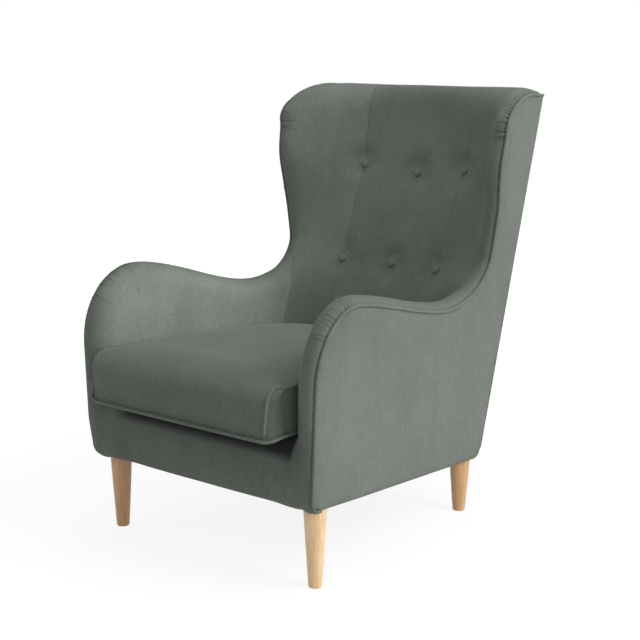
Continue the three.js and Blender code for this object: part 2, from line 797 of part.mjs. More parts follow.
function backStrap(number) {
  const foot = firstStrapZ + number * strapSpacing;
  const rings = [foot, foot + strapWidth].map((z) => {
    const reach = sideX(rearY(z) - plyDepth, z) - plyDepth - plyThickness - 2 * fit;
    const front = strapY(z);
    return [[-reach, front, z], [reach, front, z], [reach, front + strapThickness, z],
      [-reach, front + strapThickness, z]];
  });
  return solid(loft(rings));
}

// Seat springs, felt and deck pad
function seatSpring(x) {
  const front = frontCoverY + frontCoverThickness + fit + railThickness / 2;
  const rear = rearY(railTopZ(rearFootY)) - plyDepth - railThickness / 2;
  const turns = Math.round((rear - front) / springPitch);
  const points = [];
  for (let k = 0; k <= turns * springStepsPerTurn; k += 1) {
    const turn = k / springStepsPerTurn;
    const y = mix(front, rear, turn / turns);
    points.push([x + springHalfWidth * Math.sin(2 * Math.PI * turn), y, wireZ(y)]);
  }
  return tube(points, wireRadius, wireSides);
}

function deckSheet(top, thickness) {
  const front = frontCoverY + frontCoverThickness + fit + railThickness + 2 * fit;
  const rear = rearLegY;
  const outline = [[front, top(front)], [rear, top(rear)], [rear, top(rear) - thickness],
    [front, top(front) - thickness]];
  return crossRail(outline, armThickness + 2 * fit);
}

const deckPad = () => deckSheet(deckZ, deckThickness);
const springFelt = () => deckSheet((y) => deckZ(y) - deckThickness - fit, feltThickness);

// Covers
function frontCover() {
  const inner = frontCoverY + frontCoverThickness;
  const rear = inner + railThickness + 2 * fit;
  const top = deckZ(rear);
  const radius = frontCoverTopRadius;
  const outline = [[inner, undersideZ(inner)], [frontCoverY, undersideZ(frontCoverY)]];
  for (const angle of evenly(Math.PI, quarterTurn, cornerSteps)) {
    outline.push([frontCoverY + radius + radius * Math.cos(angle), top - radius + radius * Math.sin(angle)]);
  }
  const overSprings = (y) => wireZ(y) + wireRadius + fit;
  outline.push([rear, top], [rear, overSprings(rear)], [inner, overSprings(inner)]);
  return crossRail(outline, armThickness + fit);
}

function backCover() {
  const foot = undersideZ(rearFootY) + frameLift / 2;
  const rings = evenly(0, 1, backCoverRows).map((row) => {
    const z = mix(foot, rearTopZ - pipingSeat, row);
    const half = sideX(rearY(z), z);
    const bulge = backCoverBulge * Math.sin(Math.PI * row);
    const columns = evenly(-half, half, backCoverColumns);
    const inner = columns.map((x) => [x, rearY(z) - coverThickness, z]);
    const outer = columns.map((x) => [x, rearY(z) + bulge * Math.cos((quarterTurn * x) / half), z]);
    return [...inner, ...outer.reverse()];
  });
  return solid(loft(rings));
}

const sideCover = () => sidePlate(sideOutline(coverThickness + fit), 0, coverThickness);

function dustCover() {
  const front = frontCoverY + frontCoverThickness + fit;
  const rear = rearY(rearFootZ) - coverThickness - rearCornerRadius;
  const low = (y) => undersideZ(y) + frameLift - fit - dustCoverThickness;
  const outline = [[front, low(front)], [rear, low(rear)], [rear, low(rear) + dustCoverThickness],
    [front, low(front) + dustCoverThickness]];
  let sheet = crossRail(outline, dustCoverSetIn);
  const legs = [leg(frontLegX, frontLegY, 4 * fit), leg(rearLegX, rearLegY, 4 * fit)];
  for (const piece of [...legs, frontBlock(fit), rearBlock(fit)]) {
    sheet = sheet.subtract(bothSides(piece));
  }
  return sheet;
}

// Pads
function legRoom() {
  const low = [frontLegX - blockSetIn - fit, frontCoverY + frontCoverThickness, 0];
  const high = [outsideX, frontLegY + blockReach + fit, blockZ(frontLegY) + blockHeight + fit];
  return solid(box(low, high));
}

const armEndY = waistY - wingBelly - wingCrown - seatGapAtJoint;

function armPad() {
  const edge = sideEdge(stretchOf.front, stretchOf.rise + armPadEndShare);
  const top = edge.map((point) => insetPoint(point, point.drop * slabInsetShare))
    .filter(([, z]) => z > padFootZ);
  const outline = [[top[0][0], padFootZ], ...top, [armEndY + overrun, padFootZ]];
  const slab = sidePlate(outline, plyDepth, armThickness - plyDepth);
  let pad = edgeRoll().intersect(sideSlab(plyDepth, frontLegX)).add(slab);
  pad = pad.subtract(solid(box([0, armEndY, 0], [outsideX, behindY, aboveZ])));
  for (const piece of [armStump(fit), armRail(fit), wingPlate(fit), frontRail(fit), legRoom()]) {
    pad = pad.subtract(piece);
  }
  return pad;
}

function armRoom() {
  const front = armFrontY - overrun;
  const rear = armEndY + fit;
  const outline = [[front, 0], [rear, 0], [rear, topZ], [front, topZ]];
  return sidePlate(outline, -overrun * 2, armThickness + fit + overrun * 2);
}

function behindPads() {
  const outline = [[rearY(0) - plyDepth, 0], [behindY, 0], [behindY, aboveZ],
    [rearY(aboveZ) - plyDepth, aboveZ]];
  return solid(prismAcross(outline, -outsideX, outsideX));
}

function buttonRecesses(body) {
  let rest = body;
  for (const [, x, z] of buttonPlaces()) {
    rest = rest.subtract(solid(buttonAt(x, z, fit)));
  }
  return rest;
}

const wholeHood = buttonRecesses(hood());

function wingPad() {
  const wholeWing = wholeHood.add(edgeRoll());
  const side = box([seamX + fit / 2, 0, 0], [outsideX, behindY, aboveZ]);
  let pad = wholeWing.intersect(solid(side)).intersect(sideSlab(plyDepth, frontLegX));
  for (const piece of [armRoom(), behindPads(), wingPlate(fit), backPost(fit), armRail(fit), topRail(fit)]) {
    pad = pad.subtract(piece);
  }
  return pad;
}

function backPad() {
  const middle = box([-seamX + fit / 2, 0, 0], [seamX - fit / 2, behindY, aboveZ]);
  return wholeHood.intersect(solid(middle));
}

// Covered buttons
function buttonFrame(x, z) {
  const step = 1;
  const at = (dx, dz) => {
    const [cornerX, cornerY] = innerCorner(z + dz);
    const share = (x + dx) / cornerX;
    return cornerY + (innerBackY(z + dz) - cornerY) * Math.sqrt(1 - share * share);
  };
  const slopeX = (at(step, 0) - at(-step, 0)) / (2 * step);
  const slopeZ = (at(0, step) - at(0, -step)) / (2 * step);
  const normal = new THREE.Vector3(slopeX, -1, slopeZ).normalize();
  return { place: new THREE.Vector3(x, at(0, 0) + tuftDepth, z), normal };
}

function buttonAt(x, z, gap) {
  const radius = buttonRadius + gap;
  const seat = -buttonSeatDepth - gap;
  const dome = buttonProfileShares.map(([r, h]) => [radius * r, buttonHeight * h]);
  const openTop = [[radius, buttonHeight + overrun], [0, buttonHeight + overrun]];
  const profile = [[0, seat], [radius, seat], ...(gap > 0 ? openTop : dome)];
  const lathe = new THREE.LatheGeometry(profile.map(([r, h]) => new THREE.Vector2(r, h)), buttonSides);
  const { place, normal } = buttonFrame(x, z);
  const turn = new THREE.Quaternion().setFromUnitVectors(new THREE.Vector3(0, 1, 0), normal);
  return lathe.applyQuaternion(turn).translate(place.x, place.y, place.z);
}

// Piping along the edge of a side
function sidePiping() {
  const out = pipingRadius + fit - pipingSeat;
  const points = wholeEdge.map((point) => [
    sideX(point.y, point.z) - coverThickness + pipingRadius + fit,
    point.y + point.normalY * out,
    point.z + point.normalZ * out,
  ]);
  return tube(points, pipingRadius, pipingSides);
}

// Seat cushion, made level and then laid on the sloping deck
function cushionHalfWidth(y) {
  const share = (y - cushionFrontY) / (cushionRearY - cushionFrontY);
  return mix(cushionFrontHalfWidth, cushionRearHalfWidth, share);
}

function cushionPlan(sideInset, frontInset, rearInset) {
  const frontY = cushionFrontY + frontInset;
  const backY = cushionRearY - rearInset;
  const halfAt = (y) => cushionHalfWidth(y) - sideInset;
  const arc = (y, radius, from, steps) => {
    const points = [];
    for (let k = 0; k <= steps; k += 1) {
      const angle = from + (quarterTurn * k) / steps;
      const centreY = y < 0 ? y + radius : y - radius;
      const py = centreY + radius * Math.sin(angle);
      points.push([halfAt(py) - radius + radius * Math.cos(angle), py]);
    }
    return points;
  };
  const shrink = (radius, inset) => Math.max(radius - Math.max(inset, 0) * cornerShrinkShare,
    radius * leastCornerShare);
  const frontArc = arc(frontY, shrink(cushionFrontCorner, sideInset), -quarterTurn, cushionCornerSteps);
  const rearArc = arc(backY, shrink(cushionRearCorner, sideInset), 0, cushionCornerSteps);
  const between = (from, to, steps) => {
    const points = [];
    for (let k = 1; k < steps; k += 1) {
      points.push([mix(from[0], to[0], k / steps), mix(from[1], to[1], k / steps)]);
    }
    return points;
  };
  const flip = ([x, y]) => [-x, y];
  const right = [...frontArc, ...between(frontArc.at(-1), rearArc[0], cushionSideSteps), ...rearArc];
  const left = right.map(flip).reverse();
  const rearMiddle = between(right.at(-1), left[0], cushionSideSteps);
  const frontMiddle = between(left.at(-1), right[0], cushionSideSteps);
  return [...right, ...rearMiddle, ...left, ...frontMiddle];
}

function cushionLevels() {
  const height = cushionEdgeHeight;
  const inset = cushionUndersideInset;
  const levels = [{ side: inset, front: inset, rear: inset, z: 0 }];
  for (const share of cushionLevelShares) {
    const drawnIn = cushionWaist * Math.sin(Math.PI * share);
    const nose = clamp((share * height - (height - cushionNoseRise)) / cushionNoseRise, 0, 1);
    const round = cushionNoseRun * (1 - Math.sqrt(1 - nose * nose));
    levels.push({ side: drawnIn, front: cushionFrontLean * share + round, rear: -cushionRearLean * share,
      z: share * height });
  }
  return levels;
}

function crownAt(x, y) {
  const top = cushionLevels().at(-1);
  const front = cushionFrontY + top.front;
  const rear = cushionRearY - top.rear;
  const halfWidth = cushionHalfWidth(y);
  const across = 1 - clamp(Math.abs(x) / halfWidth, 0, 1) ** crownPowerShare;
  const lengthways = 1 - clamp(Math.abs(2 * y - front - rear) / (rear - front), 0, 1) ** crownPowerShare;
  return cushionCrown * (across * lengthways) ** crownFullnessShare;
}

// The lower edge sags where it hangs over the front rail
function sagged([x, y, z]) {
  const over = clamp((frontCoverY - y) / (frontCoverY - cushionFrontY), 0, 1);
  return [x, y, z - cushionSag * over ** 2 * (1 - clamp(z / cushionEdgeHeight, 0, 1))];
}

function seatCushion() {
  const levels = cushionLevels();
  const rings = levels.map((level) => cushionPlan(level.side, level.front, level.rear)
    .map(([x, y]) => sagged([x, y, level.z])));
  const top = levels.at(-1);
  for (const share of cushionTopShares) {
    const inset = cushionRearHalfWidth * share;
    rings.push(cushionPlan(inset, top.front + inset, top.rear + inset)
      .map(([x, y]) => [x, y, cushionEdgeHeight + crownAt(x, y)]));
  }
  return loft(rings);
}

const pipingOut = pipingRadius + 2 * fit;

function cushionTopPiping() {
  const levels = cushionLevels().slice(1);
  const corner = levels.map((level) => {
    const [x, y] = cushionPlan(level.side, level.front, level.rear)[pipingCornerStep];
    return sagged([x, y, level.z]);
  });
  // The uprights start just above the bottom piping
  const rise = corner.slice(0, -1).map(([x, y, z], k) => {
    const above = corner[k + 1];
    const below = corner[Math.max(k - 1, 0)];
    const slope = Math.atan2(above[1] - below[1], above[2] - below[2]);
    const out = pipingOut + pipingRadius / 2;
    const turn = (quarterTurn * pipingCornerStep) / cushionCornerSteps;
    const level = out * Math.cos(slope);
    return [x + level * Math.sin(turn), y - level * Math.cos(turn), z + out * Math.sin(slope)];
  });
  rise[0][2] += 2 * pipingRadius + 4 * fit;
  const top = levels.at(-1);
  const plan = cushionPlan(-pipingOut, top.front - pipingOut, top.rear - pipingOut);
  const rightCount = 2 * (cushionCornerSteps + 1) + cushionSideSteps - 1;
  const rearCount = cushionSideSteps - 1;
  const loop = plan.slice(pipingCornerStep + 1, 2 * rightCount + rearCount - pipingCornerStep - 1)
    .map(([x, y]) => [x, y, cushionEdgeHeight]);
  const flip = ([x, y, z]) => [-x, y, z];
  return [...rise, ...loop, ...rise.map(flip).reverse()];
}

function cushionBottomPiping() {
  const lean = (cushionRearLean * 2 * pipingOut) / cushionEdgeHeight;
  const plan = cushionPlan(-pipingOut, -pipingOut, -pipingOut - lean);
  const from = 2 * (cushionCornerSteps + 1) + cushionSideSteps + 2;
  const turned = [...plan.slice(from), ...plan.slice(0, from - 1)];
  return turned.map(([x, y]) => sagged([x, y, pipingRadius + fit]));
}

function cushionZip() {
  const lean = Math.atan2(cushionRearLean, cushionEdgeHeight);
  const half = cushionRearHalfWidth - cushionRearCorner - zipSetIn;
  const height = cushionEdgeHeight * zipHeightShare;
  const y = cushionRearY + cushionRearLean * zipHeightShare + zipThickness / 2 + fit;
  const strip = new THREE.BoxGeometry(2 * half, zipThickness, zipWidth);
  return strip.rotateX(-lean).translate(0, y, height);
}

// The assembled chair
const chair = new THREE.Group();
chair.name = 'wingback_armchair';

function add(parent, name, shape, material) {
  const geometry = shape.isBufferGeometry ? shape : geometryOf(shape);
  geometry.computeVertexNormals();
  const mesh = new THREE.Mesh(geometry, material);
  mesh.name = name;
  parent.add(mesh);
  return mesh;
}

function addPair(name, shape, material) {
  const geometry = shape.isBufferGeometry ? shape : geometryOf(shape);
  add(chair, `${name}_right`, geometry, material);
  add(chair, `${name}_left`, mirrored(geometry), material);
}

function addLegs() {
  for (const [place, legX, legY] of [['front', frontLegX, frontLegY], ['rear', rearLegX, rearLegY]]) {
    const bolt = legBolt(legX, legY, 0);
    const bore = solid(legBolt(legX, legY, fit));
    const block = place === 'front' ? frontBlock(0) : rearBlock(0);
    addPair(`leg_${place}`, leg(legX, legY, 0).subtract(bore), legWood);
    addPair(`leg_bolt_${place}`, bolt, springSteel);
    addPair(`leg_block_${place}`, block.subtract(bore), frameWood);
  }
}

function addFrame() {
  addPair('arm_stump', armStump(0), frameWood);
  addPair('arm_rail', armRail(0), frameWood);
  addPair('wing_plate', wingPlate(0), frameWood);
  addPair('side_rail', sideRail(), frameWood);
  addPair('back_post', backPost(0), frameWood);
  add(chair, 'front_rail', frontRail(0).subtract(bothSides(frontBlock(fit))), frameWood);
  add(chair, 'rear_rail', rearRail(), frameWood);
  add(chair, 'lumbar_rail', lumbarRail(), frameWood);
  add(chair, 'top_rail', topRail(0), frameWood);
}

function addSeatSupport() {
  for (let k = 0; k < springCount; k += 1) {
    const x = (k - (springCount - 1) / 2) * springSpacing;
    add(chair, `seat_spring_${k + 1}`, seatSpring(x), springSteel);
  }
  for (let k = 0; k < strapCount; k += 1) {
    add(chair, `back_strap_${k + 1}`, backStrap(k), strapCloth);
  }
  add(chair, 'spring_felt', springFelt(), feltCloth);
  add(chair, 'deck_pad', deckPad(), coverCloth);
}

function addUpholstery() {
  addPair('arm_pad', armPad(), coverCloth);
  addPair('wing_pad', wingPad(), coverCloth);
  addPair('side_cover', sideCover(), coverCloth);
  addPair('side_piping', sidePiping(), pipingCloth);
  add(chair, 'back_pad', backPad(), coverCloth);
  add(chair, 'back_cover', backCover(), coverCloth);
  add(chair, 'front_cover', frontCover(), coverCloth);
  add(chair, 'dust_cover', dustCover(), dustCloth);
  for (const [place, x, z] of buttonPlaces()) {
    add(chair, `button_${place}`, buttonAt(x, z, 0), coverCloth);
  }
}

function addCushion() {
  const cushion = new THREE.Group();
  cushion.rotation.x = -Math.atan(deckFallShare);
  cushion.position.z = deckZ(0) + 2 * fit;
  chair.add(cushion);
  add(cushion, 'seat_cushion', seatCushion(), cushionCloth);
  const topLine = cushionTopPiping();
  const bottomLine = cushionBottomPiping();
  add(cushion, 'cushion_top_piping', tube(topLine, pipingRadius, pipingSides), pipingCloth);
  add(cushion, 'cushion_bottom_piping', tube(bottomLine, pipingRadius, pipingSides), pipingCloth);
  add(cushion, 'cushion_zip', cushionZip(), zipPlastic);
}

addLegs();
addFrame();
addSeatSupport();
addUpholstery();
addCushion();

// The origin is under the middle of the whole chair
chair.updateMatrixWorld(true);
const extent = new THREE.Box3().setFromObject(chair, true);
chair.position.y = -(extent.min.y + extent.max.y) / 2;

export default chair;
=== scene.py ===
"""Looks of a wingback armchair: velvet upholstery with piping and buttons, a loose cushion, beech legs.

Everything is in metres. The chair faces -Y, and left and right are as seen from the front.
Shapes are made in the maker's drawing frame, whose Y zero lies between the legs, and are moved
along Y into the part's own frame when their meshes are made.
"""

import math

import bmesh
import bpy
import numpy as np
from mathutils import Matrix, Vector, geometry, kdtree, noise


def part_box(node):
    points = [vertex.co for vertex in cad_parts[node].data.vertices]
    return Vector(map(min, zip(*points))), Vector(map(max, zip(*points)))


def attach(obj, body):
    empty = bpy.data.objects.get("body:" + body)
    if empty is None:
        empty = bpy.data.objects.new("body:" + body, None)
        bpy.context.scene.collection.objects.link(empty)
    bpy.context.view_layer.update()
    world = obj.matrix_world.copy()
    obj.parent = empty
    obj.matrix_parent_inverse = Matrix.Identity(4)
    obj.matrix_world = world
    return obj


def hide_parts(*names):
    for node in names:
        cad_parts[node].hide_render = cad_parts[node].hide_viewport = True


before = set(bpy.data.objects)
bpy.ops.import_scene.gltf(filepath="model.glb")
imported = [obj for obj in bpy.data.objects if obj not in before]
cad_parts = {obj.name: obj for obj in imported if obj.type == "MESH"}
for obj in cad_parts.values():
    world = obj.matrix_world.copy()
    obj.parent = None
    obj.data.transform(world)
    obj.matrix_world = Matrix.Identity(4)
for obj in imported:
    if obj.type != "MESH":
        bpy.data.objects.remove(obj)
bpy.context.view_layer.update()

# Sizes that the upholsterer's drawing gives. A profile has shares of the radius, each with a height,
# which for the buttons is a share too.
FRONT_LEG = (0.298, -0.300)
REAR_LEG = (0.254, 0.301)
LEG_TOP_RADIUS = 0.0255
LEG_FOOT_RADIUS = 0.015
LEG_FOOT_PROFILE = ((0.90, 0.0), (0.96, 0.0008), (1.0, 0.0025))
UNDERSIDE_FRONT_Z = 0.177
UNDERSIDE_FALL = 0.0648
FRAME_LIFT = 0.006

ARM_FRONT_Y = -0.349
FOOT_RADIUS = 0.030
NOSE_RUN = 0.131
NOSE_RISE = 0.155
CREST_Z = 0.595
CREST_TANGENT = 0.078
SADDLE_Y = 0.160
SADDLE_Z = 0.526
SADDLE_TANGENT = 0.100
WAIST_Y = 0.331
WAIST_RISE = 0.112
WING_BELLY = 0.015
WING_BELLY_SKEW = 1.667
TOP_Z = 1.003
SHOULDER_Z = TOP_Z - 0.078
TOP_RUN = 0.0699
REAR_TOP_Z = TOP_Z - 0.005

REAR_FOOT_Y = 0.351
REAR_FOOT_Z = 0.164
REAR_RAKE = 0.2436
REAR_CORNER_RADIUS = 0.026
HALF_WIDTH_FOOT = 0.285
HALF_WIDTH_TOP = 0.307
ARM_SPLAY = 0.068
WING_SPLAY = 0.212
FLARE_Z = (0.5375 * TOP_Z, 0.7465 * TOP_Z)
FLARE_Y = (0.100, 0.300)

COVER = 0.006
GAP = 0.0003
ARM_THICKNESS = 0.062
WING_THICKNESS = 0.055
FOOT_CROWN = 0.006
FRONT_CROWN = 0.014
ARM_CROWN = 0.021
LEFT_ARM_FULLNESS = 0.0055
WING_CROWN = 0.009
TOP_CROWN = 0.016
CORNER_CROWN = 0.008
INNER_EDGE_DROP = 0.022
FRONT_EDGE_DROP = 0.026
SLAB_INSET = 0.9
ROLL_DEPTH = 0.032
ARM_END_Y = WAIST_Y - WING_BELLY - WING_CROWN - 0.014
ARM_TUCK = 0.006

BACK_THICKNESS = 0.132
BACK_THICKNESS_SHARES = ((0.3, 1), (0.42, 0.957), (0.575, 0.8), (0.688, 0.577), (0.798, 0.393),
                         (0.897, 0.32), (1.027, 0.379))
SEAT_CORNER_DEPTH = 0.070
NOSE_OVERLAP = 0.004
TOP_CAP_Z = TOP_Z - 0.017
TOP_CAP_RISE = 0.033
TOP_CAP_INSET = 0.017
TOP_CAP_FALL = 0.003
POST_DEPTH = (0.060, 0.022)
POST_TAPER_END_Z = 0.897 * TOP_Z

BUTTON_ROWS = ((0.811 * TOP_Z, 0.150, 0.015), (0.578, 0.141, 0.0))
BUTTON_RADIUS = 0.0105
BUTTON_HEIGHT = 0.006
BUTTON_PROFILE = ((1.0, -0.35), (1.0, 0.25), (0.985, 0.40), (0.95, 0.55), (0.88, 0.70), (0.76, 0.83),
                  (0.60, 0.92), (0.42, 0.97), (0.22, 0.995))
TUFT_DEPTH = 0.011
TUFT_RADIUS = 0.027
LEFT_PLEAT_SHARE = 1.5
PLEAT_SHADE = 0.6
PLEAT_REACH = 0.052
PLEAT_WIDTH = 0.0016
SEAM_WIDTH = 0.0022
SEAM_DEPTH = 0.0010
SKIN_WAVE = 0.0009

# Painted light and shade: factors on the velvet's colour for faces that turn towards or away from the light, and
# the depth of the painted shadow on the rail under the cushion
LEFT_PAINTED_LIGHT_AND_SHADE = (1.10, -0.38)
RIGHT_PAINTED_SHADE = -0.20
LEFT_PANEL_PAINTED_LIGHT = 0.17
WING_PAINTED_SHADE = -0.20
CUSHION_PAINTED_LIGHT = (0.06, 0.12)
SIDE_LOW_PAINTED_LIGHT = 0.14
RAIL_SHADE = 0.82

DECK_FRONT_Z = 0.331
DECK_FALL = 0.0575
DECK_FRONT_Y = -0.330
RAIL_COVER_Y = -0.338
RAIL_DEPTH = 0.036
RAIL_TOP_RADIUS = 0.044
RAIL_TUCK = 0.02
DECK_PAD_FRONT_Y = RAIL_COVER_Y + 0.0285
DECK_PAD_DEPTH = 0.025

CUSHION_FRONT_Y = -0.411
CUSHION_REAR_Y = 0.224
CUSHION_REAR_LEAN = 0.026
CUSHION_HALF_WIDTHS = (0.268, 0.226)
CUSHION_HEIGHT = 0.108
CUSHION_CROWN = 0.046
CUSHION_WAIST = 0.005
CUSHION_FRONT_LEAN = 0.012
CUSHION_SAG = 0.008
CORNER_LIFT = 0.020
CORNER_FALL = 0.008
CUSHION_NOSE = (0.028, 0.030)
CUSHION_PUFF = (0.013, 0.010, 0.014)
CUSHION_CORNERS = (0.024, 0.088)
FRONT_CORNER_Y = -0.345
PIPING_RADIUS = 0.0036
PIPING_SEAT = 0.0035
CUSHION_PIPING_SEAT = 0.0027

# Size of the skins' mesh cells, and of the flat covers' ones
ARM_VOXEL = 0.0045
BACK_VOXEL = 0.0050
SLAB_CELL = 0.02
COVER_CELL = 0.009

# Vertex counts
ROLL_SIDES = 30
HOOD_COLUMNS = 170
CORD_SIDES = 14
BUTTON_SIDES = 40
LEG_SIDES = 72

# Steps round a corner of the cushion, along a side and across, points of its right half, and the
# step of the front corner that the upper cord climbs
CORNER_STEPS = 14
SIDE_STEPS = 60
ACROSS_STEPS = 50
SIDE_POINTS = 2 * (CORNER_STEPS + 1) + SIDE_STEPS - 1
CORD_STEP = 4

# How far the left half of the covers is out of true, and how far the hood stands over its piping
LEFT_OUT = 0.012
LEFT_HIGH_IN = 0.009
LEFT_DIP = 0.014
TOP_PUFF = 0.006

# The part's own frame lies this far along Y from the drawing frame
low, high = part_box("leg_front_right")
SHIFT_Y = (low[1] + high[1]) / 2 - FRONT_LEG[1]


def mix(a, b, share):
    return a + (b - a) * share


def ramp(value, width=1):
    """Share of a width, held between 0 and 1."""
    return np.clip(value / width, 0, 1)


def ease(value, width=1):
    share = ramp(value, width)
    return share * share * (3 - 2 * share)


def bell(value, width):
    """Falls smoothly from 1 at nothing towards 0."""
    return np.exp(-(value / width) ** 2)


def random_at(*place):
    """Slow random value at a place, from -1 to 1."""
    return noise.noise(Vector(place))


def stacked(*columns):
    return np.stack(columns, axis=1)


def along(table, at):
    """Smooth line through a few places, each given as (at, value)."""
    xs = np.array([p[0] for p in table], float)
    ys = np.array([p[1] for p in table], float)
    at = np.asarray(at, float)
    k = np.clip(np.searchsorted(xs, at) - 1, 0, len(xs) - 2)
    before, after = np.maximum(k - 1, 0), np.minimum(k + 2, len(xs) - 1)
    span, rise = xs[k + 1] - xs[k], ys[k + 1] - ys[k]
    share = (at - xs[k]) / span
    bend_start = (ys[k + 1] - ys[before]) / (xs[k + 1] - xs[before]) * span - rise
    bend_end = rise - (ys[after] - ys[k]) / (xs[after] - xs[k]) * span
    return mix(ys[k], ys[k + 1], share) + share * (1 - share) * mix(bend_start, bend_end, share)


# Form of the chair as functions of place
def underside_z(y):
    return UNDERSIDE_FRONT_Z - UNDERSIDE_FALL * (y - ARM_FRONT_Y)


def rear_y(z):
    return REAR_FOOT_Y + REAR_RAKE * (z - REAR_FOOT_Z)


def deck_z(y):
    return DECK_FRONT_Z - DECK_FALL * (y - DECK_FRONT_Y)


def inner_back_y(z):
    return rear_y(z) - BACK_THICKNESS * along(BACK_THICKNESS_SHARES, np.asarray(z, float) / TOP_Z)


def side_x(y, z):
    y, z = np.asarray(y, float), np.asarray(z, float)
    rear_width = mix(HALF_WIDTH_FOOT, HALF_WIDTH_TOP, (z - REAR_FOOT_Z) / (REAR_TOP_Z - REAR_FOOT_Z))
    flare_height = ramp(z - FLARE_Z[0], FLARE_Z[1] - FLARE_Z[0])
    flare_place = ease(y - FLARE_Y[0], FLARE_Y[1] - FLARE_Y[0])
    splay = ARM_SPLAY + (WING_SPLAY - ARM_SPLAY) * flare_height * flare_place
    return rear_width + splay * (rear_y(z) - y)


def post_depth(z):
    return mix(*POST_DEPTH, ramp(z - REAR_FOOT_Z, POST_TAPER_END_Z - REAR_FOOT_Z))


def ellipse(y, z, ry, rz, start, end):
    def at(t):
        angle = mix(start, end, t)
        return y + ry * np.cos(angle), z + rz * np.sin(angle)
    return at


def straight(start, end):
    return lambda t: (mix(start[0], end[0], t), mix(start[1], end[1], t))


def arm_fall(t):
    crest_y = ARM_FRONT_Y + NOSE_RUN
    s = 1 - t
    shares = (s ** 3, 3 * s * s * t, 3 * s * t * t, t ** 3)
    y = (crest_y * shares[0] + (crest_y + CREST_TANGENT) * shares[1]
         + (SADDLE_Y - SADDLE_TANGENT) * shares[2] + SADDLE_Y * shares[3])
    return y, CREST_Z * (shares[0] + shares[1]) + SADDLE_Z * (shares[2] + shares[3])


def wing_front(t):
    belly = np.sin(np.pi * t ** WING_BELLY_SKEW) ** 2
    return WAIST_Y - WING_BELLY * belly, mix(SADDLE_Z + WAIST_RISE, SHOULDER_Z, t)


STRETCHES = ("foot", "front", "nose", "fall", "rise", "wing", "shoulder", "top")


def edge_stretches():
    """The piped edge of a side: each stretch with its steps, its line, its crown, drop and thickness."""
    crest_y, waist_z = ARM_FRONT_Y + NOSE_RUN, SADDLE_Z + WAIST_RISE
    nose_foot_z, foot_y = CREST_Z - NOSE_RISE, ARM_FRONT_Y + FOOT_RADIUS
    corner_z, top_y = underside_z(foot_y) + FOOT_RADIUS, rear_y(REAR_TOP_Z) - TOP_RUN
    turn, arm, wing = math.pi / 2, (ARM_THICKNESS,) * 2, (WING_THICKNESS,) * 2
    front_drop, full_drop = (FRONT_EDGE_DROP,) * 2, (INNER_EDGE_DROP,) * 2
    return (
        (14, ellipse(foot_y, corner_z, FOOT_RADIUS, FOOT_RADIUS, 3 * turn, 2 * turn),
         (FOOT_CROWN, FOOT_CROWN), front_drop, arm),
        (56, straight((ARM_FRONT_Y, corner_z), (ARM_FRONT_Y, nose_foot_z)),
         (FOOT_CROWN, FRONT_CROWN), front_drop, arm),
        (60, ellipse(crest_y, nose_foot_z, NOSE_RUN, NOSE_RISE, 2 * turn, turn),
         (FRONT_CROWN, ARM_CROWN), (FRONT_EDGE_DROP, INNER_EDGE_DROP), arm),
        (96, arm_fall, (ARM_CROWN, ARM_CROWN), full_drop, arm),
        (56, ellipse(SADDLE_Y, waist_z, WAIST_Y - SADDLE_Y, WAIST_RISE, -turn, 0),
         (ARM_CROWN, WING_CROWN), full_drop, (ARM_THICKNESS, WING_THICKNESS)),
        (72, wing_front, (WING_CROWN, WING_CROWN), full_drop, wing),
        (52, ellipse(top_y, SHOULDER_Z, top_y - WAIST_Y, TOP_Z - SHOULDER_Z, 2 * turn, turn),
         (WING_CROWN, TOP_CROWN), full_drop, wing),
        (18, straight((top_y, TOP_Z), (rear_y(REAR_TOP_Z), REAR_TOP_Z)),
         (TOP_CROWN, CORNER_CROWN), full_drop, wing),
    )


def edge_line(start=0.0, end=8.0):
    """Points of the piped edge between two places, where place counts the stretches from 0."""
    rows = []
    for number, (steps, at, crown, drop, thickness) in enumerate(edge_stretches()):
        first, last = ramp(start - number), ramp(end - number)
        if last <= first:
            continue
        count = max(2, round(steps * (last - first)))
        t = np.linspace(first, last, count + 1)[(1 if rows else 0):]
        y, z = at(t)
        ahead, behind = at(np.minimum(t + 0.01, 1)), at(np.maximum(t - 0.01, 0))
        dy, dz = ahead[0] - behind[0], ahead[1] - behind[1]
        length = np.hypot(dy, dz)
        rows.append(stacked(y + 0 * t, z + 0 * t, -dz / length, dy / length, mix(*crown, ease(t)),
                            mix(*drop, t), mix(*thickness, t), number + t))
    return np.concatenate(rows)


EDGE = edge_line()
EDGE_RUN = np.concatenate([[0], np.cumsum(np.hypot(np.diff(EDGE[:, 0]), np.diff(EDGE[:, 1])))])


def run_at(stretch, share):
    """Length along the piped edge up to a share of a stretch."""
    return float(np.interp(STRETCHES.index(stretch) + share, EDGE[:, 7], EDGE_RUN))


def wing_edge_y(z):
    wing = EDGE[(EDGE[:, 7] >= 4) & (EDGE[:, 7] <= 7)]
    return np.interp(z, wing[:, 1], wing[:, 0])


def button_places():
    return [(side * x, z - (drop if side == 0 else 0)) for z, x, drop in BUTTON_ROWS for side in (-1, 0, 1)]


def seam_x(z):
    """Half distance of the two upright seams of the back, which run through the outer buttons."""
    (z_high, x_high, _), (z_low, x_low, _) = BUTTON_ROWS
    return x_low + (z - z_low) * (x_high - x_low) / (z_high - z_low)


def tuft_depth(x, z):
    """How far the back is drawn in at the buttons, with short folds round each."""
    depth = np.zeros(np.broadcast(x, z).shape)
    for number, (bx, bz) in enumerate(button_places()):
        dx, dz = x - bx, z - bz
        distance = np.hypot(dx, dz)
        away = np.maximum(distance - BUTTON_RADIUS, 0)
        angle = np.arctan2(dz, dx)
        folds = 1 + 0.16 * np.cos(5 * angle + 1.7 * number) * ramp(away, 0.01)
        depth += TUFT_DEPTH * folds * bell(away, TUFT_RADIUS)
        wide = np.hypot(dx / 1.6, dz)
        depth += 0.0020 * bell(wide, 0.060)
    return np.minimum(depth, 0.93 * TUFT_DEPTH)


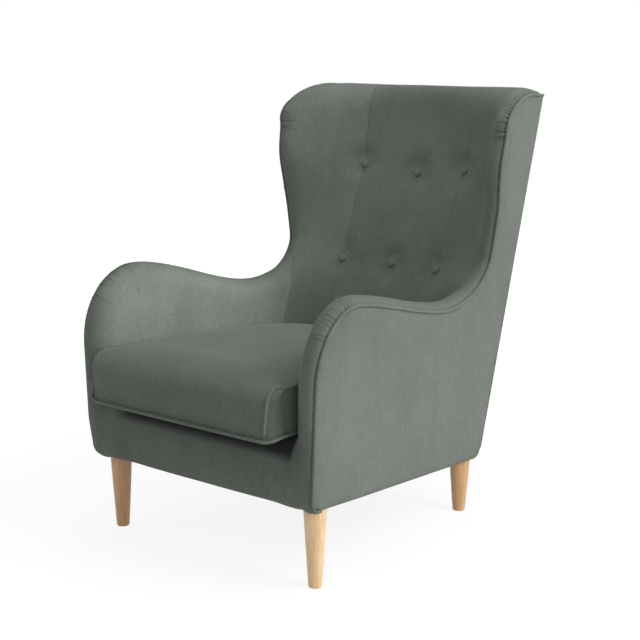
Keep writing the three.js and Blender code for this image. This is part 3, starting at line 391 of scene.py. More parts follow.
def inner_corner(z):
    waist_z = SADDLE_Z + WAIST_RISE
    middle = inner_back_y(z)
    at_arm = middle - SEAT_CORNER_DEPTH
    at_wing = np.minimum(wing_edge_y(z) + INNER_EDGE_DROP, middle - NOSE_OVERLAP)
    share = ease(z - SADDLE_Z, waist_z - SADDLE_Z)
    y = mix(at_arm, at_wing, share)
    return side_x(y, z) - mix(ARM_THICKNESS, WING_THICKNESS, share) + NOSE_OVERLAP, y


# Meshes
def placed(name, data):
    thing = bpy.data.objects.new(name, data)
    bpy.context.scene.collection.objects.link(thing)
    return thing


def new_piece(name, points, faces):
    """A mesh object at the origin, with its points moved from the drawing frame into the part's frame."""
    points = np.asarray(points, float) + (0, SHIFT_Y, 0)
    mesh = bpy.data.meshes.new(name)
    mesh.from_pydata(points.tolist(), [], [list(map(int, face)) for face in faces])
    work = bmesh.new()
    work.from_mesh(mesh)
    bmesh.ops.remove_doubles(work, verts=work.verts, dist=1e-6)
    bmesh.ops.recalc_face_normals(work, faces=work.faces)
    work.to_mesh(mesh)
    work.free()
    mesh.validate()
    mesh.shade_smooth()
    return placed(name, mesh)


def loft(rings):
    """A closed solid through rings that have the same count of points, with a cap at each end."""
    rings = np.asarray(rings, float)
    total, count = rings.shape[:2]
    faces = []
    for r in range(total - 1):
        for k in range(count):
            a, b = r * count + k, r * count + (k + 1) % count
            faces.append((a, b, b + count, a + count))
    faces.append(tuple(range(count))[::-1])
    faces.append(tuple((total - 1) * count + k for k in range(count)))
    return rings.reshape(-1, 3), faces


def gather(*solids):
    """Several (points, faces) solids as one."""
    points, faces, offset = [], [], 0
    for solid_points, solid_faces in solids:
        points.append(np.asarray(solid_points, float))
        faces.extend(tuple(k + offset for k in face) for face in solid_faces)
        offset += len(solid_points)
    return np.concatenate(points), faces


def mirrored(solid):
    points, faces = solid
    return np.asarray(points) * (-1, 1, 1), [tuple(reversed(face)) for face in faces]


def two_skins(outer, inner, rows, columns):
    """A sheet between two grids of points that share their rows and columns."""
    total = rows * columns
    cell = [(r * columns + c, r * columns + c + 1, (r + 1) * columns + c + 1, (r + 1) * columns + c)
            for r in range(rows - 1) for c in range(columns - 1)]
    rim = (list(range(columns)) + [r * columns + columns - 1 for r in range(1, rows)]
           + [(rows - 1) * columns + c for c in range(columns - 2, -1, -1)]
           + [r * columns for r in range(rows - 2, 0, -1)])
    walls = [(a, b, b + total, a + total) for a, b in zip(rim, rim[1:] + rim[:1])]
    return outer + inner, cell + [tuple(k + total for k in reversed(face)) for face in cell] + walls


def on_side(side, solid):
    return solid if side > 0 else mirrored(solid)


def tree_of(points):
    tree = kdtree.KDTree(len(points))
    for k, point in enumerate(points):
        tree.insert(point, k)
    tree.balance()
    return tree


def bake(piece):
    """Turns the piece with its modifiers into a plain mesh."""
    graph = bpy.context.evaluated_depsgraph_get()
    mesh = bpy.data.meshes.new_from_object(piece.evaluated_get(graph))
    piece.modifiers.clear()
    piece.data = mesh
    return piece


def read(piece, what):
    flat = np.empty(len(piece.data.vertices) * 3)
    piece.data.vertices.foreach_get(what, flat)
    return flat.reshape(-1, 3)


def positions(piece):
    return read(piece, "co")


def normals_of(piece):
    return read(piece, "normal")


def in_drawing(piece):
    return positions(piece) - (0, SHIFT_Y, 0)


def set_positions(piece, points):
    piece.data.vertices.foreach_set("co", np.ascontiguousarray(points, float).ravel())
    piece.data.update()


def set_in_drawing(piece, points):
    set_positions(piece, points + (0, SHIFT_Y, 0))


def relax(piece, rounds, weight=1.0, outward=-0.52):
    """Evens a mesh without shrinking it. With outward at nothing it also rounds the mesh off."""
    edges = np.empty(len(piece.data.edges) * 2, int)
    piece.data.edges.foreach_get("vertices", edges)
    a, b = edges.reshape(-1, 2).T
    points = positions(piece)
    weight = np.broadcast_to(weight, len(points))[:, None]
    count = np.bincount(np.concatenate([a, b]), minlength=len(points))[:, None]
    for _ in range(rounds):
        for factor in (0.5, outward):
            total = np.stack([np.bincount(a, points[b, k], len(points))
                              + np.bincount(b, points[a, k], len(points)) for k in range(3)], axis=1)
            points += factor * weight * (total / count - points)
    set_positions(piece, points)


def fill_hollows(piece, rounds, weight):
    """Lifts hollows until they run evenly into what lies beside them. What stands out stays."""
    before, normals = positions(piece), normals_of(piece)
    relax(piece, rounds, weight, outward=0)
    lift = np.clip(((positions(piece) - before) * normals).sum(1), 0, None)
    set_positions(piece, before + normals * lift[:, None])
    relax(piece, 14, weight)


def fused(name, solid, voxel, rounds):
    """One closed skin round solids that run into each other."""
    piece = new_piece(name, *solid)
    remesh = piece.modifiers.new("skin", "REMESH")
    remesh.mode = "VOXEL"
    remesh.voxel_size = voxel
    remesh.adaptivity = 0
    bake(piece)
    relax(piece, rounds)
    piece.data.shade_smooth()
    return piece


def store_painted_light(piece, painted_light_and_shade=1.0):
    """Stores the painted light and shade at each point, as a factor on the cloth's colour."""
    attribute = piece.data.attributes.new("painted_light_and_shade", "FLOAT", "POINT")
    values = np.broadcast_to(painted_light_and_shade, len(piece.data.vertices))
    attribute.data.foreach_set("value", np.ascontiguousarray(values, np.float32))


def drift(points, scale, seed):
    """Slow random height at each point, from -1 to 1."""
    shift = Vector((seed * 7.3, seed * 3.1, seed * 5.7))
    return np.array([noise.noise(Vector(p) * scale + shift) for p in points])


# Padded roll and pads
def edge_roll(start, end, fuller=0.0):
    """Padded roll inside the piped edge, between two places of it."""
    outer = COVER - 3 * GAP
    rings = []
    for y, z, ny, nz, crown, drop, thickness, place in edge_line(start, end):
        angle = np.linspace(0, math.pi, ROLL_SIDES + 1)
        across = (1 - np.cos(angle)) / 2
        full = crown + fuller * ease(place) * (1 - ease(place - 3.6, 0.9))
        depth = np.concatenate([[outer], mix(outer, thickness, across), [thickness - NOSE_OVERLAP]])
        rise = np.concatenate([[-ROLL_DEPTH], full * np.sin(angle) ** 0.8 - drop * across ** 3, [-ROLL_DEPTH]])
        rings.append(stacked(side_x(y, z) - depth, y + ny * rise, z + nz * rise))
    return loft(rings)


def plate(outline, outer_depth, inner_depth, spacing):
    """Plate that follows the side of the chair between two depths, with an even inner mesh."""
    outline = np.asarray(outline, float)
    (y0, z0), (y1, z1) = outline.min(0), outline.max(0)
    grid = [(y, z) for y in np.arange(y0, y1, spacing) for z in np.arange(z0, z1, spacing)]
    tree = tree_of([(y, z, 0) for y, z in outline])
    inner = [p for p in grid if tree.find((*p, 0))[2] > spacing * 0.7 and is_inside(outline, p)]
    count = len(outline)
    flat = [Vector(p) for p in [*outline.tolist(), *inner]]
    rim = [(k, (k + 1) % count) for k in range(count)]
    verts, _, faces, *_ = geometry.delaunay_2d_cdt(flat, rim, [list(range(count))], 1, 1e-7)
    flat = np.array([tuple(v) for v in verts])
    y, z = flat.T
    gap = np.array([tree.find((a, b, 0))[2] for a, b in flat])
    outer, inside = (stacked(side_x(y, z) - depth, y, z) for depth in (outer_depth, inner_depth))
    total = len(flat)
    walls = [(k, (k + 1) % count, (k + 1) % count + total, k + total) for k in range(count)]
    back = [tuple(k + total for k in reversed(face)) for face in faces]
    return (np.concatenate([outer, inside]), [*map(tuple, faces), *back, *walls]), gap


def is_inside(outline, point):
    """Even-odd test of a point in a closed outline."""
    y, z = point
    ay, az = outline.T
    by, bz = np.roll(ay, -1), np.roll(az, -1)
    crosses = (az > z) != (bz > z)
    at = ay + (z - az) / np.where(crosses, bz - az, 1) * (by - ay)
    return bool(np.count_nonzero(crosses & (y < at)) % 2)


def inset_edge(line, inset):
    return line[:, :2] - line[:, 2:4] * np.reshape(inset, (-1, 1))


def arm_solid(fuller=0.0):
    """Rolled edge and flat inside of one arm, up to where it is tucked in against the wing."""
    line = edge_line(0, 4.6)
    top = inset_edge(line, line[:, 5] * SLAB_INSET)
    foot_z, front, rear = 0.300, -0.28, ARM_END_Y + 0.03
    outline = [*top.tolist(), (rear, foot_z), (front, foot_z), (front, underside_z(front) + 0.010)]
    slab, _ = plate(outline, COVER + GAP, ARM_THICKNESS, SLAB_CELL)
    points, faces = gather(edge_roll(0, 4.7, fuller), slab)
    points[:, 1] = np.minimum(points[:, 1], ARM_END_Y + ARM_TUCK)
    return points, faces


def rail_solid():
    """Padded face of the front rail, which comes flush with the arm fronts at its foot."""
    rows = []
    for share in np.linspace(0, 1, 40):
        top = deck_z(RAIL_COVER_Y)
        height = mix(underside_z(RAIL_COVER_Y) + 0.001, top - 0.002, share)
        over = max(0, (height - (top - 0.002 - RAIL_TOP_RADIUS)) / RAIL_TOP_RADIUS)
        high_round = RAIL_TOP_RADIUS * (1 - math.sqrt(max(0, 1 - over ** 2)))
        half = float(side_x(RAIL_COVER_Y, height)) - ARM_THICKNESS + RAIL_TUCK
        x = np.linspace(-half, half, 90)
        beside = np.maximum(half - RAIL_TUCK - abs(x), 0)
        radius = 0.007 + 0.021 * bell(beside, 0.060)
        under = ramp(1 - (height - UNDERSIDE_FRONT_Z) / radius)
        low_round = radius * (1 - np.sqrt(1 - under ** 2))
        flush = 0.017 * bell(beside, 0.045) * (1 - ease(height - 0.215, 0.115))
        flush += 0.004 * (1 - ease(height - 0.18, 0.08))
        front = RAIL_COVER_Y - flush + low_round + high_round
        rows.append([*zip(x, front, np.full_like(x, height)),
                     *((v, RAIL_COVER_Y + RAIL_DEPTH, height) for v in x[::-1])])
    return loft(rows)


def hood_ring(z, rear, inset):
    """Level ring of the inner back from arm to arm."""
    corner_x, corner_y = (float(v) for v in inner_corner(z))
    angle = np.linspace(-math.pi / 2, math.pi / 2, HOOD_COLUMNS + 1)
    x = corner_x * np.sin(angle)
    y = corner_y + (float(inner_back_y(z)) - corner_y) * np.cos(angle) + tuft_depth(x, z)
    lowered = TOP_CAP_FALL * max(0.0, (z - TOP_CAP_Z) / TOP_CAP_RISE)
    height = z - lowered * ease(abs(x) - corner_x + 0.055, 0.055)
    front = stacked(x + np.sign(x) * inset * abs(x) / corner_x, y + inset, height)
    outer = COVER + GAP + inset
    ends = [(side * (float(side_x(v, z)) - outer), v, z - lowered)
            for side, v in ((1, corner_y + inset), (1, rear - inset),
                            (-1, rear - inset), (-1, corner_y + inset))]
    return np.concatenate([front, ends])


def hood_solid():
    """Inner back with the top cap that closes it."""
    foot_z = float(deck_z(inner_back_y(DECK_FRONT_Z) - SEAT_CORNER_DEPTH)) + 2 * GAP
    rings = []
    for z in np.linspace(foot_z, TOP_CAP_Z, 150):
        rear = rear_y(z) - COVER - post_depth(z) + mix(0.0, 0.003, float(ease(z - 0.70, 0.08)))
        rings.append(hood_ring(z, rear, 0))
    for angle in np.linspace(0, math.pi / 2, 12):
        z = TOP_CAP_Z + GAP + (TOP_CAP_RISE - GAP) * math.sin(angle)
        rings.append(hood_ring(z, rear_y(z) - COVER - GAP, TOP_CAP_INSET * (1 - math.cos(angle))))
    return loft(rings)


def pleat_rows(longer):
    """Pleats that run in from the piping, each as (run, length, depth, width, slant).

    A group has its stretch with a first and last share of it, its count, length and depth.
    """
    rows = []
    groups = (("nose", 0.40, 0.98, 10, 0.040 * longer, 0.0013 * longer ** 1.8),
              ("wing", 0.92, 1.0, 3, 0.050, 0.0038),
              ("shoulder", 0.04, 0.24, 4, 0.026, 0.0030),
              ("shoulder", 0.27, 0.97, 13, 0.020, 0.0028))
    for seed, (stretch, first, last, count, length, depth) in enumerate(groups):
        for k in range(count):
            shaken = [random_at(k * 1.7, seed * 3.3, n * 5.1) for n in range(4)]
            share = mix(first, last, (k + 0.5 + 0.55 * shaken[0]) / count)
            rows.append((run_at(stretch, share), length * (1 + 0.8 * shaken[1]), depth * (1 + 0.6 * shaken[2]),
                         PLEAT_WIDTH * (1 + 0.4 * shaken[3]), 0.25 * shaken[0]))
    return rows


def pleats(run, gap, longer=1.0):
    """Height of the pleats, and how deep in a pleat each point lies, from 0 to 1."""
    height, inside = np.zeros(np.shape(run)), np.zeros(np.shape(run))
    for at, length, depth, width, slant in pleat_rows(longer):
        off = run - at - slant * gap
        reach = ramp(1 - gap / length) ** 0.7
        fold = bell(off, width) * reach
        height += 0.45 * depth * bell(off, 3 * width) * reach - depth * fold
        inside = np.maximum(inside, fold)
    return height, inside


def refine(piece, mask):
    """A finer mesh where the mask is set."""
    work = bmesh.new()
    work.from_mesh(piece.data)
    edges = [edge for edge in work.edges if mask[edge.verts[0].index] and mask[edge.verts[1].index]]
    bmesh.ops.subdivide_edges(work, edges=edges, cuts=2, use_grid_fill=True)
    bmesh.ops.triangulate(work, faces=[face for face in work.faces if len(face.verts) > 4])
    work.to_mesh(piece.data)
    work.free()
    piece.data.shade_smooth()


def edge_places(points):
    """How far along the piped edge each point lies, and how far from it."""
    tree = tree_of([(float(side_x(y, z)), y, z) for y, z in EDGE[:, :2]])
    run, gap = np.empty(len(points)), np.empty(len(points))
    for k, (x, y, z) in enumerate(points):
        place, index, _ = tree.find((abs(x), y, z))
        line = EDGE[index]
        offset = np.array((y - line[0], z - line[1]))
        run[k] = EDGE_RUN[index] + line[3] * offset[0] - line[2] * offset[1]
        gap[k] = math.hypot(abs(x) - place[0], line[2] * offset[0] + line[3] * offset[1])
    return run, gap


def near_pleats(run, gap):
    ends = ((run_at("nose", 0.3), run_at("nose", 1.0) + 0.02),
            (run_at("wing", 0.88), run_at("shoulder", 1.0) + 0.01))
    return (gap < PLEAT_REACH) & np.logical_or.reduce([(run > a) & (run < b) for a, b in ends])


def arms_and_rail():
    """One skin over both arms and the front rail. The masks say where its hollows are filled."""
    right, left = arm_solid(), mirrored(arm_solid(LEFT_ARM_FULLNESS))
    piece = fused("arm_upholstery", gather(right, left, rail_solid()), ARM_VOXEL, 7)
    points = in_drawing(piece)
    x, y, z = points.T
    depth = side_x(y, z) - abs(x)
    run, gap = edge_places(points)
    low = ramp(0.335 - z, 0.03) * ramp(z - 0.198, 0.02) * ramp(-0.315 - y, 0.01)
    corner = low * ramp(0.050 - abs(depth - ARM_THICKNESS), 0.025)
    inner = ramp(depth - 0.030, 0.015) * ramp(gap - 0.030, 0.015) * ramp(0.19 - gap, 0.03)
    inner *= ramp(0.21 - y, 0.05)
    fill_hollows(piece, 90, np.maximum(corner, inner))
    refine(piece, near_pleats(run, gap))
    points, normals = in_drawing(piece), normals_of(piece)
    run, gap = edge_places(points)
    fold, inside = np.where(points[:, 0] > 0, pleats(run, gap), pleats(run, gap, LEFT_PLEAT_SHARE))
    moved = points + normals * (fold + SKIN_WAVE * drift(points, 9.0, 1.0))[:, None]
    set_in_drawing(piece, moved)
    x, y, z = points.T
    # Painted shadow on the top of the rail's face, under the cushion's overhang: darkest near its top, stopping at
    # the right arm and fading out slowly towards the left one.
    face = ramp(RAIL_COVER_Y + 0.045 - y, 0.01) * ramp(0.345 - z, 0.01)
    face *= ramp(side_x(y, z) - ARM_THICKNESS - 0.003 - abs(x), np.where(x > 0, 0.006, 0.060))
    painted_shading = painted_facing_shading(points, normals) * (1 - RAIL_SHADE * face * ease(z - 0.268, 0.028))
    # Painted shade in the pleat hollows.
    store_painted_light(piece, painted_shading * (1 - 0.7 * PLEAT_SHADE * inside))
    return piece


def painted_facing_shading(points, normals, on_back=1.0):
    """Painted shading by which way each face turns: on the left half faces turned to +X are painted lighter and
    faces turned up darker, on the right half faces turned up darker, and higher up it runs into the value for the
    back.
    """
    x, y, z = points.T
    left, right = ramp(-x, 0.05), ramp(x, 0.05)
    facing_x, facing_z = ramp(normals[:, 0]), ramp(normals[:, 2])
    facing_front = ramp(-normals[:, 1]) * ramp(0.59 - z, 0.04)
    beside_back = 1 - 0.5 * ease(y - 0.10, 0.16)
    painted_shading = 1 + left * (LEFT_PAINTED_LIGHT_AND_SHADE[0] * facing_x * beside_back + LEFT_PAINTED_LIGHT_AND_SHADE[1] * facing_z) * (1 - facing_front)
    painted_shading += right * RIGHT_PAINTED_SHADE * facing_z
    return mix(on_back, painted_shading, 1 - ease(z - 0.52, 0.20))


def wings_and_back():
    """One skin over both wings and the back. The masks say where it is filled, evened and puffed up."""
    roll = edge_roll(4.2, 8)
    _, y, z = roll[0].T
    roll[0][:, 1] = np.clip(y, ARM_END_Y - ARM_TUCK, rear_y(z) - COVER - GAP)
    piece = fused("wing_and_back_upholstery", gather(hood_solid(), roll, mirrored(roll)), BACK_VOXEL, 4)
    x, y, z = in_drawing(piece).T
    depth = side_x(y, z) - abs(x)
    beside = ramp(depth - 0.016, 0.012) * ramp(0.125 - depth, 0.030)
    back_y = rear_y(z) - 0.030
    crease = beside * ramp(back_y - y, 0.01) * ramp(1.03 - z, 0.02)
    top = ramp(z - 0.955, 0.02) * ramp(depth - 0.010, 0.010)
    fill_hollows(piece, 160, crease * (1 - top))
    relax(piece, 90, top, outward=0)
    ridge = bell(depth - WING_THICKNESS, 0.014) * (back_y > y) * ramp(0.99 - z, 0.02)
    relax(piece, 40, ridge, outward=0)
    points = in_drawing(piece)
    x, y, z = points.T
    run, gap = edge_places(points)
    seam = (abs(abs(x) - seam_x(z)) < 0.006) & (y < rear_y(z) - 0.020) & (z > 0.45)
    refine(piece, near_pleats(run, gap) | seam)
    points, normals = in_drawing(piece), normals_of(piece)
    x, y, z = points.T
    run, gap = edge_places(points)
    fold, inside = pleats(run, gap)
    facing = ramp(-normals[:, 1] * 1.5)
    off_seam = abs(abs(x) - seam_x(z))
    groove = bell(off_seam, SEAM_WIDTH) * facing
    height = fold + SKIN_WAVE * drift(points, 9.0, 2.0)
    height += facing * (0.0005 * bell(off_seam, 0.010) - SEAM_DEPTH * groove)
    moved = points + normals * height[:, None]
    inside_edges = ease(side_x(y, z) - abs(x), np.where(x > 0, 0.055, 0.020))
    inside_edges = inside_edges * ease(rear_y(z) - y, 0.025)
    moved[:, 2] += TOP_PUFF * ease(z - 0.92, 0.07) * inside_edges
    set_in_drawing(piece, moved)
    # Painted light on the left back panel beside its seam, and painted shade on the wings' faces turned to +X.
    left_panel = ramp(-x - seam_x(z), 0.006) * ramp(side_x(y, z) - abs(x) - 0.022, 0.03)
    wing = ramp(abs(x) - 0.235, 0.03) * ramp(normals[:, 0])
    painted_shading = painted_facing_shading(points, normals, 1 + LEFT_PANEL_PAINTED_LIGHT * left_panel + WING_PAINTED_SHADE * wing)
    # Painted shade in the pleat hollows and in the seam grooves.
    store_painted_light(piece, painted_shading * (1 - PLEAT_SHADE * inside) * (1 - 0.10 * groove))
    return piece


# Flat covers
def side_outline():
    points = [tuple(p) for p in inset_edge(EDGE, PIPING_SEAT)]
    highest = REAR_TOP_Z - PIPING_SEAT
    points[-1] = (rear_y(highest) - COVER - GAP, highest)
    leaning, radius = -math.atan(REAR_RAKE), REAR_CORNER_RADIUS
    centre_z = underside_z(REAR_FOOT_Y) + radius
    centre_y = rear_y(centre_z + radius * math.sin(leaning)) - COVER - GAP - radius * math.cos(leaning)
    arc = [(centre_y + radius * math.cos(a), centre_z + radius * math.sin(a))
           for a in np.linspace(leaning, -math.pi / 2, 14)]
    rear, low = straight(points[-1], arc[0]), straight(arc[-1], points[0])
    points += [rear(t) for t in np.linspace(0, 1, 90)[1:-1]]
    points += arc
    points += [low(t) for t in np.linspace(0, 1, 80)[1:-1]]
    return np.array(points)


def side_cover(side, name):
    (points, faces), gap = plate(side_outline(), 0.0, COVER - 0.0002, COVER_CELL)
    half = len(points) // 2
    y, z = points[:half, 1], points[:half, 2]
    at_rear = ramp(y - rear_y(z) + 0.030, 0.020)
    at_front = ramp(-0.18 - y, 0.15)
    tucked = (1 - at_rear) * (0.0010 * np.exp(-(gap / 0.0040) ** 1.5) + mix(0.0012, 0.0042, at_front)
                              * np.exp(-(gap / mix(0.012, 0.024, at_front)) ** 1.6))
    slow = drift(points[:half] + (side, 0, 0), 6.0, 3.0 + side)
    points[:half, 0] -= tucked + 0.0012 * slow * ramp(gap, 0.03)
    piece = new_piece(name, *on_side(side, (points, faces)))
    # Painted light from the floor: the outer side covers are painted lighter towards the bottom.
    store_painted_light(piece, 1 + SIDE_LOW_PAINTED_LIGHT * (1 - ease(positions(piece)[:, 2] - 0.25, 0.40)))
    return piece


def back_cover():
    foot = underside_z(REAR_FOOT_Y) + FRAME_LIFT / 2
    rows, columns = 90, 70
    outer, inner = [], []
    for z in np.linspace(foot, REAR_TOP_Z - PIPING_SEAT, rows):
        half = float(side_x(rear_y(z), z)) - 0.013 * max(0.0, 1 - (z - foot) / 0.024) ** 2
        for x in np.linspace(-half, half, columns):
            from_rim = min(half - abs(x), z - foot, REAR_TOP_Z - PIPING_SEAT - z)
            bulge = (0.004 * math.cos(math.pi / 2 * x / half)
                     * math.sin(math.pi * (z - foot) / (REAR_TOP_Z - foot)))
            tucked = 0.0010 * math.exp(-(from_rim / 0.0045) ** 1.5)
            slow = 0.0008 * random_at(x * 6, z * 6, 4.2)
            outer.append((x, rear_y(z) + bulge - tucked + slow, z))
            inner.append((x, rear_y(z) - COVER, z))
    return new_piece("outer_back_cover", *two_skins(outer, inner, rows, columns))


def deck():
    """Padded deck under the loose cushion."""
    front, rear = DECK_PAD_FRONT_Y, REAR_LEG[1]
    rows, columns = 60, 60
    top, under = [], []
    for y in np.linspace(front, rear, rows):
        half = float(side_x(y, deck_z(y))) - ARM_THICKNESS - 2 * GAP
        for x in np.linspace(-half, half, columns):
            from_rim = min(half - abs(x), y - front, rear - y)
            tucked = 0.004 * math.exp(-from_rim / 0.010)
            top.append((x, y, deck_z(y) - tucked - 0.0006 * (1 + random_at(x * 8, y * 8, 9.1))))
            under.append((x, y, deck_z(y) - DECK_PAD_DEPTH))
    return new_piece("deck_upholstery", *two_skins(top, under, rows, columns))


# Piping
def cord(points):
    """Covered cord along a line, with the slight unevenness of sewn piping."""
    points = np.asarray(points, float)
    ahead = np.gradient(points, axis=0)
    ahead /= np.linalg.norm(ahead, axis=1)[:, None]
    across = np.array((0, 0, 1.0)) if abs(ahead[0, 2]) < 0.9 else np.array((1.0, 0, 0))
    run = np.concatenate([[0], np.cumsum(np.linalg.norm(np.diff(points, axis=0), axis=1))])
    angle = np.linspace(0, 2 * math.pi, CORD_SIDES, endpoint=False)
    rings = []
    for point, direction, place in zip(points, ahead, run):
        across = across - direction * across.dot(direction)
        across /= np.linalg.norm(across)
        up = np.cross(direction, across)
        uneven = 1 + 0.04 * random_at(place * 60, 1, 0)
        spread = np.cos(angle)[:, None] * across + np.sin(angle)[:, None] * up
        rings.append(point + PIPING_RADIUS * uneven * spread)
    return loft(rings)


def side_piping(side, name):
    out = mix(-PIPING_RADIUS, GAP + PIPING_RADIUS - PIPING_SEAT, ease(EDGE_RUN - 0.002, 0.024))
    y, z, ny, nz = EDGE[:, :4].T
    line = stacked(side_x(y, z) - COVER + PIPING_RADIUS + GAP, y + ny * out, z + nz * out)
    return new_piece(name, *on_side(side, cord(line)))


# Seat cushion, made level and then laid on the sloping deck
def cushion_half(y):
    return mix(*CUSHION_HALF_WIDTHS, (y - CUSHION_FRONT_Y) / (CUSHION_REAR_Y - CUSHION_FRONT_Y))


def cushion_plan(side_inset, front_inset, rear_inset):
    """The cushion's outline from above, counted from the right front corner round the rear to the front."""
    front_y, back_y = CUSHION_FRONT_Y + front_inset, CUSHION_REAR_Y - rear_inset

    def arc(y, radius, start):
        centre = y + radius if y < 0 else y - radius
        angle = start + np.linspace(0, math.pi / 2, CORNER_STEPS + 1)
        py = centre + radius * np.sin(angle)
        return stacked(cushion_half(py) - side_inset - radius + radius * np.cos(angle), py)

    def shrink(radius):
        return max(radius - side_inset * (0.6 if side_inset > 0 else 1), radius * 0.25)

    def between(start, end, steps):
        return [mix(start, end, k / steps) for k in range(1, steps)]

    front_arc = arc(front_y, shrink(CUSHION_CORNERS[0]), -math.pi / 2)
    rear_arc = arc(back_y, shrink(CUSHION_CORNERS[1]), 0)
    right = [*front_arc, *between(front_arc[-1], rear_arc[0], SIDE_STEPS), *rear_arc]
    left = [p * (-1, 1) for p in reversed(right)]
    return np.array([*right, *between(right[-1], left[0], ACROSS_STEPS), *left,
                     *between(left[-1], right[0], ACROSS_STEPS)])


def cushion_level(share):
    """Insets and height of the cushion's wall at a share of its height."""
    height = CUSHION_HEIGHT
    nose_run, nose_rise = CUSHION_NOSE
    nose = min(1, max(0, (share * height - (height - nose_rise)) / nose_rise))
    return (CUSHION_WAIST * math.sin(math.pi * share),
            CUSHION_FRONT_LEAN * share + nose_run * (1 - math.sqrt(1 - nose * nose)),
            -CUSHION_REAR_LEAN * share, share * height)


def crown_at(x, y):
    _, front_inset, rear_inset, _ = cushion_level(1)
    front, rear = CUSHION_FRONT_Y + front_inset, CUSHION_REAR_Y - rear_inset
    across = 1 - ramp(abs(x), cushion_half(y)) ** 2.4
    lengthways = 1 - ramp(abs(2 * y - front - rear), rear - front) ** 2.4
    return CUSHION_CROWN * (across * lengthways) ** 0.8


def sagged(points):
    """Lets the front hang down over the rail, the right top corner droop and the left low one bulge up."""
    points = np.array(points, float)
    x, y, z = points.T
    outward = ramp(-x - cushion_half(y) + 0.036, 0.036) ** 2
    z += CORNER_LIFT * outward * ease(FRONT_CORNER_Y - y, 0.05) * ramp(1 - z / 0.06)
    inward = ramp(x - cushion_half(y) + 0.05, 0.05) ** 1.5
    z -= CORNER_FALL * inward * ramp(-0.28 - y, 0.11) ** 1.3 * ramp(z, CUSHION_HEIGHT) ** 2
    over = ramp(RAIL_COVER_Y - y, RAIL_COVER_Y - CUSHION_FRONT_Y)
    z -= CUSHION_SAG * over ** 2 * (1 - ramp(z, CUSHION_HEIGHT))
    return points


def tilted(x, y, z, tilt):
    return stacked(x, y * math.cos(tilt) - z * math.sin(tilt), y * math.sin(tilt) + z * math.cos(tilt))


def laid(points):
    """From the cushion's level frame to its place on the deck."""
    return tilted(*np.transpose(points), -math.atan(DECK_FALL)) + (0, 0, deck_z(0)) + (0, 0, 2 * GAP)


def unlaid(points):
    x, y, z = points.T
    return tilted(x, y, z - deck_z(0) - 2 * GAP, math.atan(DECK_FALL))


def ring_of(level):
    side, front, rear, z = level
    plan = cushion_plan(side, front, rear)
    return sagged(np.column_stack([plan, np.full(len(plan), z)]))


def seat_cushion():
    """The filled cushion: puffed and waved along its normals, with its front edge rounded off."""
    rings = [ring_of((inset, inset, inset, 0)) for inset in (0.058, 0.03, 0.012)]
    rings += [ring_of(cushion_level(share)) for share in np.linspace(0, 1, 34)]
    _, front_inset, rear_inset, _ = cushion_level(1)
    for share in np.linspace(0, 1, 46)[1:] ** 1.15 * 0.92:
        inset = CUSHION_HALF_WIDTHS[1] * share
        plan = cushion_plan(inset, front_inset + inset, rear_inset + inset)
        rings.append(np.column_stack([plan, CUSHION_HEIGHT + crown_at(*plan.T)]))
    points, faces = loft(rings)
    piece = new_piece("seat_cushion_filled", laid(points), faces)
    points, local, normals = positions(piece), in_drawing(piece), normals_of(piece)
    up = ramp(normals[:, 2])
    height = 0.0022 * drift(local, 7.0, 5.0) + 0.0011 * drift(local, 16.0, 6.0)
    height *= 0.35 + 0.65 * up
    x, y, z = unlaid(local).T
    level = ramp(z, CUSHION_HEIGHT)
    across = ramp(1 - abs(x) / (CUSHION_HALF_WIDTHS[0] - 0.010))
    forward = ramp(-normals[:, 1])
    front_puff, top_puff, side_puff = CUSHION_PUFF
    height += forward * front_puff * ramp(across, 0.25) ** 0.5 * np.sin(math.pi * level) ** 0.7
    height += up * top_puff * ramp(across, 0.2) ** 0.5 * bell(y - FRONT_CORNER_Y, 0.045)
    points = points + normals * (height * ramp(local[:, 2] - 0.34, 0.03))[:, None]
    set_positions(piece, points)
    at_edge = ramp(-0.27 - y, 0.05) * ramp(level - 0.40, 0.2)
    relax(piece, 70, at_edge * ramp(across, 0.12), outward=0)
    points = positions(piece)
    beside = ease(-x - cushion_half(y) + 0.075, 0.075)
    points[:, 0] -= side_puff * ease(FRONT_CORNER_Y - y, 0.045) * beside * ease(level - 0.25, 0.45)
    set_positions(piece, points)
    # Painted light and shade: the top and the sides are painted lighter, the sides' rounded front corners darker,
    # and a band on the sides just behind the corners lighter.
    facing = abs(normals[:, 0])
    painted_shading = 1 + CUSHION_PAINTED_LIGHT[0] * up + CUSHION_PAINTED_LIGHT[1] * facing
    painted_shading *= 1 - 0.38 * ease(facing - 0.36, 0.2) * (1 - ease(y + 0.392, 0.046)) * (1 - up)
    store_painted_light(piece, painted_shading * (1 + 0.22 * facing * bell(y + 0.335, 0.030)))
    return piece


